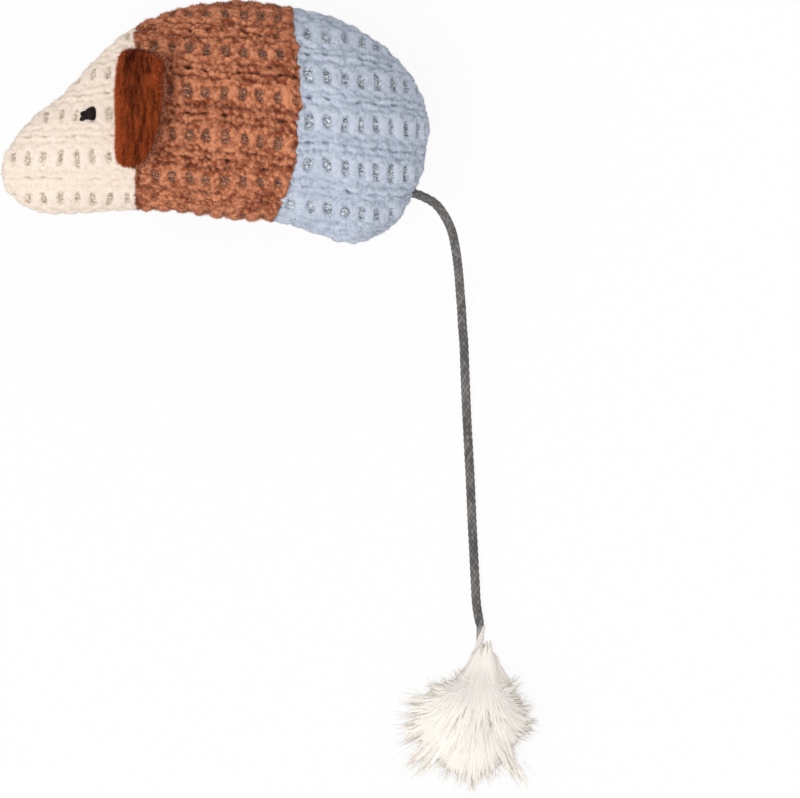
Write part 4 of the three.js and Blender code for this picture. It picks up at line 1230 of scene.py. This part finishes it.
# %% Seam threads
SEAM_DEPTH, SEAM_END = 1.2, 0.0724
THREAD_RADIUS, PLY_PITCH, PLY_STEP, PLY_SIDES = 0.3, 1.6, 0.25, 6
OUTLINE_END = 0.4
TAIL_OPENING = (11.45, 12.02)


def seam_arc(station, side):
    turns = np.linspace(SEAM_END, math.pi - SEAM_END, 19)
    return [body_skin(np.array(float(station)), np.array(side * a), SEAM_DEPTH) for a in turns]


def outline_run(angle, low, high, count):
    return [body_skin(np.array(t), np.array(angle), SEAM_DEPTH) for t in np.linspace(low, high, count)]


def two_ply(knots, radius):
    line = even_line(knots, PLY_STEP)
    across, upward = carried_frame(line)
    turn = (run_length(line) * 2 * np.pi / PLY_PITCH)[:, None]
    plies = []
    for start in (0, np.pi):
        plies.append(line + 0.48 * radius * (across * np.cos(turn + start) + upward * np.sin(turn + start)))
    lines = np.array(plies)
    shape = strands(lines, np.full(lines.shape[:2], 0.5 * radius), PLY_SIDES)
    return shape, {"tone": np.tile(np.linspace(0.3, 0.7, PLY_SIDES), 2 * len(line))}


outline_knots = [
    *outline_run(math.pi, TAIL_OPENING[1], LAST - OUTLINE_END, 3),
    *outline_run(0.0, LAST - OUTLINE_END, OUTLINE_END, 33),
    *outline_run(math.pi, OUTLINE_END, TAIL_OPENING[0], 29),
]
SEAMS = {
    "neck_seam_thread_left": (seam_arc(NECK, 1), "head"),
    "neck_seam_thread_right": (seam_arc(NECK, -1), "head"),
    "rump_seam_thread_left": (seam_arc(RUMP, 1), "middle"),
    "rump_seam_thread_right": (seam_arc(RUMP, -1), "middle"),
    "outline_seam_thread": (outline_knots, "head"),
}
for node, (knots, part) in SEAMS.items():
    shape, marks = two_ply(knots, THREAD_RADIUS)
    name = node.replace("thread", "stitching")
    make_piece(name, shape, YARNS[part]["thread"], "body", [node], marks)

# %% [markdown]
# ## Ears
# Each ear is a flap of brown velvet with a lining, sewn into the neck seam along a short base. The left
# ear bends forward and folds back over itself, so its velvet shows on top and the lining only as a
# paler rim. The right ear lies flat under the head. A flap is a thin slab that follows a path from the
# sewn base to the free edge. Short pile stands on the velvet, combed along the ear. The lining is a
# little larger than the velvet, its hem turns up round it, and a fringe of nap stands on that hem.

# %% Ear sheets
EAR_WIDTH, EAR_SEWN_WIDTH = 25, 12
EAR_WIDEST, EAR_FREE_SHARE, EAR_SWEEP = 0.6, 0.41, 4.5
EAR_BASES = {"left": np.array([-17.05, 2.52, 39.54]), "right": np.array([-17.05, 2.52, 3.46])}
EAR_LEANS = {"left": 0.0, "right": -8.0}
EAR_SLANT = {"left": 0.9, "right": 0.0}
EAR_PATHS = {
    "left": [[0, 1.1], [-2.2, 2.6], [-2.8, 4.3], [-1.5, 6], [1.4, 7.1], [5.6, 7.3]],
    "right": [[0, -1.5], [-4, -0.9], [-8, 0], [-12, 1.2], [-15, 2.4]],
}
EAR_ROWS, EAR_COLUMNS = 84, 72
EAR_ROOT, EAR_EDGE = 0.1, 0.45
EAR_HEM, EAR_HEM_LIFT = 0.8, 0.7
EAR_CORNER, EAR_CORNER_SPAN, EAR_CORNER_SHOWS = 0.84, 0.14, 1.3


def ear_half_width(share):
    full, sewn = EAR_WIDTH / 2, EAR_SEWN_WIDTH / 2
    near = sewn + (full - sewn) * (1 - np.cos(np.clip(share / EAR_WIDEST, 0, 1) * np.pi)) / 2
    free = full * np.sqrt(np.maximum(0, 1 - np.maximum(0, (share - EAR_WIDEST) / EAR_FREE_SHARE) ** 2.6))
    return np.where(share < EAR_WIDEST, near, free)


def ear_face(side, offset, reach=0.0, hem=0.0):
    """One face of an ear at a distance from its middle, as a grid from the sewn base to the free edge."""
    knots = np.array([[x, 0, z] for x, z in EAR_PATHS[side]], float)
    last = len(knots) - 1
    share = 1 - (1 + EAR_ROOT) * np.linspace(1, 0, EAR_ROWS + 1) ** 1.35
    inside = np.clip(share, 0, 1)
    spine = smooth_line(knots, inside * last)
    ahead = unit(smooth_line(knots, np.minimum(inside + 0.005, 1) * last)
                 - smooth_line(knots, np.maximum(inside - 0.005, 0) * last))
    length = run_length(spine)[-1]
    spine = spine + ahead * (np.minimum(share, 0) * length)[:, None]
    away = np.stack([-ahead[:, 2], np.zeros(len(ahead)), ahead[:, 0]], -1)
    toward_tip = np.maximum(0, (share - EAR_WIDEST) / (1 - EAR_WIDEST))
    spine = spine + ahead * (reach * toward_tip)[:, None]
    across = np.linspace(-1, 1, EAR_COLUMNS + 1)[None]
    across = np.sign(across) * (1 - (1 - np.abs(across)) ** 1.25)
    half = (ear_half_width(share) + reach * toward_tip)[:, None]
    corner = np.exp(-(((share - EAR_CORNER) / EAR_CORNER_SPAN) ** 2))[:, None] * np.maximum(0, -across) ** 3
    lean = EAR_LEANS[side] * inside**1.5 + EAR_SWEEP * toward_tip**3.5
    rim = np.minimum((1 - np.abs(across)) * half, ((1.004 - inside) * length)[:, None])
    thin = np.sqrt(np.clip(1 - (1 - np.clip(rim / EAR_EDGE, 0, 1)) ** 2, 0.0, 1))
    bend = 0.25 * np.sin(2.6 * across + 1.1) * inside[:, None] + 0.12 * np.sin(5.1 * across - 0.6)
    turned = hem * eased(1 - rim / EAR_HEM) * eased(4 * inside)[:, None]
    lift = offset * thin + bend * (0.3 + inside[:, None]) + turned
    grid = spine[:, None] + away[:, None] * lift[..., None]
    grid[..., 0] += EAR_SLANT[side] * inside[:, None] * np.maximum(0, across) ** 2
    grid[..., 1] = across * half + lean[:, None] - EAR_CORNER_SHOWS * reach * corner
    return grid + EAR_BASES[side], away, float(2 * np.trapz(half[:, 0], share * length)), length


def ear_slab(side, near, far, reach=0.0, hem=0.0):
    """A closed layer between two distances from the ear's middle, with rounded edges."""
    middle, half = (near + far) / 2, (far - near) / 2
    lower, away, area, length = ear_face(side, -half, reach, hem)
    upper = ear_face(side, half, reach, hem)[0]
    shift = (away * middle)[:, None]
    lower, upper = lower + shift, upper + shift
    wide = EAR_COLUMNS + 1
    count = (EAR_ROWS + 1) * wide
    quads = grid_quads(EAR_ROWS, EAR_COLUMNS)
    rows, columns = np.arange(EAR_ROWS) * wide, np.arange(EAR_COLUMNS)
    end = EAR_ROWS * wide + columns
    edges = ((rows, rows + wide), (rows + wide + EAR_COLUMNS, rows + EAR_COLUMNS), (columns + 1, columns),
             (end, end + 1))
    rim = [np.stack([a, b, b + count, a + count], -1) for a, b in edges]
    points = np.concatenate([lower.reshape(-1, 3), upper.reshape(-1, 3)])
    return (points, [quads, count + quads[:, ::-1], *rim]), lower, upper, away, area, length

# %% Velvet finishes
velvet_finish, wire = open_finish("brown velvet")
lay = wire.cloud(placed(wire, (1.0, 0.12, 1.0)), 2600.0, 3.0)
nap = wire.cloud(placed(wire, (1.0, 0.2, 1.0)), 6000.0, 2.0)
brush = wire.cloud(placed(wire, (1.0, 0.5, 1.0)), 90.0, 2.0)
# The tone mark brings painted light and shade across the folded ear; lay and brush are the pile's streaks.
combed_and_lit = (lay * 0.6 + brush * 1.2 + wire.mark("tone") * 1.0 - 0.9).kept()
close_finish(wire, {
    "Base Color": combed_and_lit.mixed(shown(74, 23, 10), shown(200, 98, 50)),
    "Roughness": (0.6 + nap * 0.25),
    "Specular IOR Level": 0.1,
    "Normal": bumped(wire, nap, 0.00006, 0.4),
})

lining_finish, wire = open_finish("ear lining")
weft = wire.cloud(placed(wire, (1.0, 0.6, 1.0)), 2400.0, 2.0)
warp = wire.cloud(placed(wire, (0.6, 1.0, 0.6)), 2900.0, 2.0)
cloth = (weft * 2.2 + warp * 2.2 - 1.75).kept()
close_finish(wire, {
    "Base Color": cloth.mixed(shown(112, 50, 33), shown(224, 152, 118)),
    "Roughness": (0.7 + weft * 0.2),
    "Specular IOR Level": 0.2,
    "Normal": bumped(wire, cloth, 0.00012, 0.6),
})

# %% Ear pile
PILE_RADIUS, PILE_DEPTH = 0.08, 0.06
PILE_LENGTH, PILE_LONGER, PILE_TRIMMED = 0.9, 1.1, 0.55
PILE_PATCH = np.array([[0, 0], [0.01, 0], [0.005, 0.01], [0.005, 0.004]])
PILE_TONE, PILE_VARIES = 0.12, 0.6
STREAK, STREAK_WIDTH, STREAK_SQUEEZE = 1.5, 0.3, [1, 0.1, 1]
COMBED = [0, -1.0, 0]
FRINGE_POWER, RIM_POWER = 20, 14


def painted_fold_light(points):
    """Painted light and shade across the ear: paler along its fold, darker in the middle, a little paler
    toward the far edge.
    """
    low, high = points[..., 0].min(), points[..., 0].max()
    share = (points[..., 0] - low) / (high - low)
    fold, middle = np.exp(-((share / 0.17) ** 2)), np.exp(-(((share - 0.46) / 0.22) ** 2))
    return 0.7 * fold - 0.3 * middle + 0.28 * share


def ear_pile(face, away, sign, seed, count, edge_only=False):
    """Short hairs combed down the ear, each a closed three-sided spike that lies almost flat."""
    draw = np.random.default_rng(seed)
    area = np.linalg.norm(np.cross(*cell_sides(face)), axis=-1)
    rows, columns = area.shape
    rim = np.maximum(np.abs(2 * (np.arange(columns) / columns)[None] - 1), (np.arange(rows) / rows)[:, None])
    chance = area * rim**FRINGE_POWER if edge_only else area
    i, j, place, spot = scattered(draw, face, chance, count)
    out = sign * away[i]
    root = spot - PILE_DEPTH * out
    ways = draw.normal(0, 1, (count, 3))
    outboard = unit(face[i, j] - face[np.maximum(i - 6, 0), face.shape[1] // 2])
    rim = np.maximum(np.abs(2 * j / columns - 1), i / rows)[:, None] ** RIM_POWER
    lean = unit(0.45 * out + 0.22 * ways + (1 - rim) * COMBED + 0.9 * rim * outboard)
    tip = root + lean * (PILE_LENGTH + PILE_LONGER * draw.random((count, 1))) * (1 - PILE_TRIMMED * rim)
    across = unit(np.cross(lean, out))
    shape = spikes(root, tip, across, np.cross(lean, across), PILE_RADIUS)
    streak = STREAK * uneven(root * STREAK_SQUEEZE, 90, STREAK_WIDTH)
    # The hairs take streaks and the painted light and shade across the fold.
    tone = np.clip(PILE_TONE + PILE_VARIES * draw.random(count) + streak + painted_fold_light(root), 0, 1)
    return shape, {"tone": np.repeat(tone, 4)}, spike_map(place, area.shape, 0.985, PILE_PATCH)

# %% Ear pieces
EAR_LAYERS = {
    "left": {"velvet": (0.05, 0.95), "lining": (-0.95, -0.05), "held": "folded", "up": 1, "seed": 70},
    "right": {"velvet": (-0.95, -0.05), "lining": (0.05, 0.95), "held": "laid", "up": -1, "seed": 71},
}
VELVET_SHOWS, EAR_LINING_SHOWS = 0.35, 1.0
EAR_PILE, EAR_NAP = 11000, 2200
for side, layers in EAR_LAYERS.items():
    ear = f"{side}_ear"
    up, seed = layers["up"], layers["seed"]
    shape, lower, upper, away, area, length = ear_slab(side, *layers["velvet"], VELVET_SHOWS)
    # The flap's tone is painted light and shade across its fold.
    marks = {"tone": 0.5 + painted_fold_light(shape[0])}
    velvet = make_piece(f"{ear}_flap", shape, velvet_finish, ear, [f"{ear}_velvet"], marks)
    shape, marks, flat = ear_pile(upper if up > 0 else lower, away, up, seed, EAR_PILE)
    pile = make_piece(f"{ear}_pile", shape, velvet_finish, ear, (), marks, flat)
    length * (1 + EAR_ROOT) * MM
    area * MM * MM
    shape, lower, upper, away, area, length = ear_slab(side, *layers["lining"], EAR_LINING_SHOWS,
                                                       EAR_HEM_LIFT * up)
    lining = make_piece(f"{ear}_lining_cloth", shape, lining_finish, ear, [f"{ear}_lining"])
    shape, _, flat = ear_pile(upper if up > 0 else lower, away, up, seed + 2, EAR_NAP, edge_only=True)
    nap = make_piece(f"{ear}_lining_nap", shape, lining_finish, ear, (), None, flat)
    length * (1 + EAR_ROOT) * MM
    area * MM * MM
    print(f"{ear}: {length * (1 + EAR_ROOT):.1f} mm long, {area:.0f} square mm")

# %% [markdown]
# ## Eyes
# An eye is a few satin stitches of black thread: a full knot toward the ear and two thinner tails
# toward the nose. Each stitch is a bowed tube whose ends dive into the knit.

# %% Eye finish
eye_finish, wire = open_finish("black satin thread")
ply = wire.cloud(placed(wire, (0.3, 1.0, 1.0)), 6000.0, 2.0)
lively = (wire.mark("tone") * 0.5 + ply * 0.5 - 0.1).kept()
close_finish(wire, {
    "Base Color": lively.mixed(shown(6, 4, 5), shown(40, 31, 33)),
    "Roughness": (0.42 + ply * 0.25),
    "Normal": bumped(wire, ply, 0.00005, 0.5),
    "Specular IOR Level": 0.15,
})

# %% Eyes
EYE_PLACE = (np.array(3.71), np.array(math.radians(74.5)))
EYE_SHIFT = 0.4
EYE_STITCHES = (
    (-0.6, 0.2, 1.2, 1.45), (-0.5, 0.0, 1.6, 1.15), (-0.6, -0.1, 1.85, 0.75), (-0.7, -0.2, 1.95, 0.35),
    (-0.7, -0.3, 1.95, -0.05), (-0.6, -0.4, 1.85, -0.45), (-0.5, -0.5, 1.65, -0.85),
    (-0.4, -0.6, 1.3, -1.15), (0.3, 1.2, 0.5, -1.1), (0.9, 1.35, 1.0, -1.2), (-0.1, 0.7, 0.1, -0.9),
    (-1.85, 0.2, 0.4, 0.55), (-1.75, -0.02, 0.4, 0.2), (-2.05, -1.1, 0.5, -0.75),
    (-1.95, -0.82, 0.5, -0.5), (-1.5, -1.3, 0.6, -1.0), (-1.2, -0.28, 0.5, -0.15),
)
STITCH_BOW = np.array([-0.35, 0.35, 0.72, 0.86, 0.86, 0.72, 0.35, -0.35])
STITCH_RADIUS, STITCH_SIDES = 0.25, 8


def eye_stitches(side):
    out = body_outward(*EYE_PLACE)
    along = unit(np.array([1.0, 0, 0]) - out * out[0])
    across = np.cross(out, along)
    seat = body_point(*EYE_PLACE) + out * float(stuffing_lift(*EYE_PLACE))
    seat = seat - EYE_SHIFT * along + EYE_SHIFT * across
    part = np.linspace(0, 1, len(STITCH_BOW))
    lines = []
    for n, (x0, y0, x1, y1) in enumerate(EYE_STITCHES):
        x, y = x0 + (x1 - x0) * part, y0 + (y1 - y0) * part
        height = STITCH_BOW + 0.04 * (n % 3)
        lines.append(seat + np.outer(x, along) + np.outer(y, across) + np.outer(height, out))
    lines = laid(np.array(lines), side)
    shape = strands(lines, np.full(lines.shape[:2], STITCH_RADIUS), STITCH_SIDES)
    tones = np.random.default_rng(9).random(len(lines))
    return shape, {"tone": np.repeat(tones, len(STITCH_BOW) * STITCH_SIDES)}


for side in ("left", "right"):
    shape, marks = eye_stitches(side)
    make_piece(f"{side}_eye_stitches", shape, eye_finish, "body", [f"{side}_eye"], marks)

# %% [markdown]
# ## Inside the mouse
# Out of sight, the cord ends in a knot that keeps it from pulling out, two wads of fibre fill the
# body, and a round cloth sachet between them holds the dried catnip. They are made as plainly as the
# real ones are: braid, lumpy fibre, thin cloth and flakes of leaf.

# %% Knot and root
KNOT_SIZE, KNOT_CORD, KNOT_POINTS = 2.2, 0.92, 320
FILL_GAP, KNOT_GAP = 0.3, 1.7
KNOT_MIDDLE = -(KNIT_THICKNESS + FILL_GAP + KNOT_GAP + KNOT_SIZE / 2 + CORD_RADIUS)
KNOT_NEAR = KNOT_MIDDLE + KNOT_SIZE / 2 + CORD_RADIUS
ROOT_PLACES = np.linspace(KNOT_NEAR + 0.3, -0.75, 6)
root_line = even_line([TAIL_HOLE + TAIL_OUT * a for a in ROOT_PLACES], CORD_STEP)
shape, marks = braid(root_line, CORD_RADIUS)
make_piece("tail_root_braid", shape, cord_finish, "body", ["tail_root"], marks)
turn = np.linspace(0, 4 * np.pi, KNOT_POINTS, endpoint=False)
loop = (2 + np.cos(1.5 * turn)) * 0.5 * KNOT_SIZE
knot_line = np.stack([loop * np.cos(turn), loop * np.sin(turn), 0.5 * KNOT_SIZE * np.sin(1.5 * turn)], -1)
beside = unit(np.cross([0, 0, 1.0], TAIL_OUT))
knot_axes = np.stack([beside, np.cross(TAIL_OUT, beside), TAIL_OUT])
knot_line = knot_line @ knot_axes + TAIL_HOLE + TAIL_OUT * KNOT_MIDDLE
shape, marks = braid(knot_line, KNOT_CORD, sides=24, looped=True)
make_piece("tail_end_knot", shape, cord_finish, "body", ["tail_knot"], marks)

# %% Filling finishes
fibre_finish, wire = open_finish("white fibre fill")
tangle = wire.cloud(placed(wire), 900.0, 4.0)
close_finish(wire, {
    "Base Color": tangle.mixed(shown(222, 220, 214), shown(250, 249, 246)),
    "Roughness": (0.8 + tangle * 0.15),
    "Normal": bumped(wire, tangle, 0.0004, 0.6),
    "Sheen Weight": 0.2,
})
sachet_finish, wire = open_finish("plain sachet cloth")
weft = wire.cloud(placed(wire, (1.0, 0.12, 1.0)), 3800.0, 2.0)
warp = wire.cloud(placed(wire, (1.0, 1.0, 0.12)), 3800.0, 2.0)
close_finish(wire, {
    "Base Color": (weft + warp - 0.5).kept().mixed(shown(206, 196, 168), shown(240, 234, 216)),
    "Roughness": (0.75 + weft * 0.2),
    "Normal": bumped(wire, weft + warp, 0.00008, 0.5),
    "Sheen Weight": 0.1,
})
leaf_finish, wire = open_finish("dried catnip leaf")
age = wire.cloud(placed(wire), 700.0, 3.0)
faded = (wire.mark("tone") * 0.6 + age * 0.6 - 0.1).kept()
close_finish(wire, {
    "Base Color": faded.mixed(shown(84, 92, 50), shown(156, 158, 96)),
    "Roughness": (0.75 + age * 0.2),
    "Normal": bumped(wire, age, 0.0001, 0.5),
    "Sheen Weight": 0.05,
})

# %% Stuffing
PARTING, PARTING_GAP = 6.5, 0.03
FILL_DEPTH = KNIT_THICKNESS + FILL_GAP
SACHET_RADIUS, SACHET_HEM, SACHET_DEPTH, SACHET_CLOTH = 13, 2.5, 9, 0.5
SACHET_GAP, SACHET_RUFFLE = 0.15, 0.12
WAD_SIDES = 72
WAD_LUMPS, WAD_POCKET = 0.16, 0.95
parting_back, parting_belly = (body_point(np.array(PARTING), np.array(a)) for a in (0.0, math.pi))
parting = (parting_back + parting_belly) / 2
wad_turn = np.arange(WAD_SIDES) * 2 * np.pi / WAD_SIDES


def dished(height, edge, count=9):
    """Radius and height of a dished sachet half, from its middle out to its hem."""
    share = np.linspace(0.06, 1, count)
    pocket = SACHET_RADIUS - SACHET_HEM
    rise = (SACHET_DEPTH / 2 - SACHET_CLOTH - SACHET_GAP) * (1 - share**2)
    return [*zip(pocket * share, rise + height), (edge, height)]


def sachet_ring(radius, height, sign, ruffle=0.0):
    wave = ruffle * np.sin(11 * wad_turn) * (radius / SACHET_RADIUS) ** 4
    ring = np.stack([sign * (height + wave), radius * np.cos(wad_turn), radius * np.sin(wad_turn)], -1)
    return parting + ring


def wad(end, turn_in, inner, sign):
    """A wad from its end of the body, through where the end turns in, to the sachet's pocket."""
    stations = np.concatenate([np.linspace(end, turn_in[0], 5), np.linspace(turn_in[1], inner, 26)])
    rings = [body_skin(np.full(WAD_SIDES, t), wad_turn, FILL_DEPTH) for t in stations]
    lumps = []
    for ring in rings:
        swell = WAD_LUMPS * (cloud(ring, 5.0) - 0.7)[:, None]
        lumps.append(ring + swell * unit(ring - ring.mean(0)))
    pocket = [sachet_ring(r, a, sign) for r, a in reversed(dished(WAD_POCKET, SACHET_RADIUS + FILL_GAP))]
    levels = np.array([*lumps, *pocket])
    return levels.reshape(-1, 3), turned_over(ring_faces(len(levels), WAD_SIDES), sign > 0)


WADS = {
    "front": wad(0.45, (1.2, 1.5), PARTING - PARTING_GAP, -1),
    "rear": wad(LAST - 0.45, (LAST - 1.2, LAST - 1.5), PARTING + PARTING_GAP, 1),
}
for name, shape in WADS.items():
    filling = make_piece(f"fibre_wad_{name}", shape, fibre_finish, "body", [f"stuffing_{name}"])

# %% Sachet
for name, sign in (("front", -1), ("rear", 1)):
    under = dished(SACHET_GAP, SACHET_RADIUS)
    over = reversed(dished(SACHET_GAP + SACHET_CLOTH, SACHET_RADIUS))
    levels = np.array([sachet_ring(r, a, sign, SACHET_RUFFLE) for r, a in [*under, *over]])
    faces = turned_over(ring_faces(len(levels), WAD_SIDES), sign < 0)
    cloth = make_piece(f"sachet_{name}_cloth", (levels.reshape(-1, 3), faces), sachet_finish, "body",
                       [f"sachet_cloth_{name}"])

# %% Leaf
FLAKES = 420
FLAKE_THICKNESS = 0.12
LEAF_SPREAD, LEAF_EDGE, LEAF_ROOM = 8.6, 9.6, 3.1
LEAF = np.array([
    [-1, 0, 0], [-0.3, 0.5, 0.1], [0.5, 0.4, 0.25], [1, 0, 0.4], [0.5, -0.4, 0.25], [-0.3, -0.5, 0.1],
])
draw = np.random.default_rng(23)
spread, spin = np.sqrt(draw.random(FLAKES)) * LEAF_SPREAD, draw.random(FLAKES) * 2 * np.pi
room = LEAF_ROOM * (1 - (spread / LEAF_EDGE) ** 2)
depth = (2 * draw.random(FLAKES) - 1) * room
middle = parting + np.stack([depth, spread * np.cos(spin), spread * np.sin(spin)], -1)
one = unit(draw.normal(0, 1, (FLAKES, 3)))
two = unit(np.cross(one, draw.normal(0, 1, (FLAKES, 3))))
three = np.cross(one, two)
size = 0.7 + 0.7 * draw.random((FLAKES, 1))
leaf = LEAF[:, :1] * one[:, None] + LEAF[:, 1:2] * two[:, None] + LEAF[:, 2:] * three[:, None]
outline = middle[:, None] + size[:, None] * leaf
flakes = np.concatenate([outline, outline + FLAKE_THICKNESS * three[:, None]], axis=1).reshape(-1, 3)
at = np.arange(FLAKES)[:, None] * 12
rim = [at + [k, (k + 1) % 6, (k + 1) % 6 + 6, k + 6] for k in range(6)]
leaf_faces = [at + np.arange(6), at + 6 + np.arange(5, -1, -1), np.concatenate(rim)[:, ::-1]]
make_piece("dried_leaf_flakes", (flakes, leaf_faces), leaf_finish, "body", ["dried_catnip"],
           {"tone": np.repeat(draw.random(FLAKES), 12)})

# %% [markdown]
# ## Floor, light and sky
# The photograph has a white ground and soft even light from the lower left. A broad sun and a white sky
# share the work, at a level where a colour renders about as it is written. The floor is a pale matt
# surface; the camera sees it nearly white, and it still takes the mouse's soft shadow.

# %% Floor
FLOOR_HALF = 3.0
FLOOR_WHITENESS = 0.92
WHITE = (1, 1, 1, 1)


def seen_directly(wire):
    """1 where a ray comes from the camera, a reflection or a clear piece, and 0 where light is gathered."""
    rays = ("Is Camera Ray", "Is Glossy Ray", "Is Transmission Ray")
    camera_ray, glossy, clear = (wire.node("ShaderNodeLightPath", {}, {}, out=ray) for ray in rays)
    return (camera_ray + glossy + clear).kept()


FLOOR_CORNERS = [(x * FLOOR_HALF, y * FLOOR_HALF, 0) for x, y in ((-1, -1), (1, -1), (1, 1), (-1, 1))]
mesh = bpy.data.meshes.new("floor")
mesh.from_pydata(FLOOR_CORNERS, [], [(0, 1, 2, 3)])
floor = bpy.data.objects.new("floor", mesh)
bpy.context.scene.collection.objects.link(floor)
floor_finish, wire = open_finish("white floor")
matt = wire.node("ShaderNodeBsdfDiffuse", {}, {"Color": shown(240, 240, 240)})
white = wire.node("ShaderNodeEmission", {}, {"Color": WHITE, "Strength": 1.0})
seen = seen_directly(wire) * FLOOR_WHITENESS
surface = wire.node("ShaderNodeMixShader", {}, {0: seen, 1: matt, 2: white})
wire.node("ShaderNodeOutputMaterial", {}, {"Surface": surface}, out=None)
mesh.materials.append(floor_finish)

# %% Sky and sun
SKY_STRENGTH = 0.74
SUN_STRENGTH = 1.25
SUN_SPREAD, SUN_TILT_X, SUN_TILT_Y = (math.radians(turn) for turn in (35, 17, -22))
sky = bpy.data.worlds.new("white sky")
bpy.context.scene.world = sky
sky.use_nodes = True
sky.node_tree.nodes.clear()
wire = Wire(sky.node_tree)
strength = seen_directly(wire) * (1 - SKY_STRENGTH) + SKY_STRENGTH
glow = wire.node("ShaderNodeBackground", {}, {"Color": WHITE, "Strength": strength})
wire.node("ShaderNodeOutputWorld", {}, {"Surface": glow}, out=None)

sun_data = bpy.data.lights.new("sun", "SUN")
sun_data.energy = SUN_STRENGTH
sun_data.angle = SUN_SPREAD
sun = bpy.data.objects.new("sun", sun_data)
sun.rotation_euler = (SUN_TILT_X, SUN_TILT_Y, 0)
bpy.context.scene.collection.objects.link(sun)
bpy.context.scene.view_settings.view_transform = "Standard"
print(f"sky {SKY_STRENGTH}, sun {SUN_STRENGTH}")
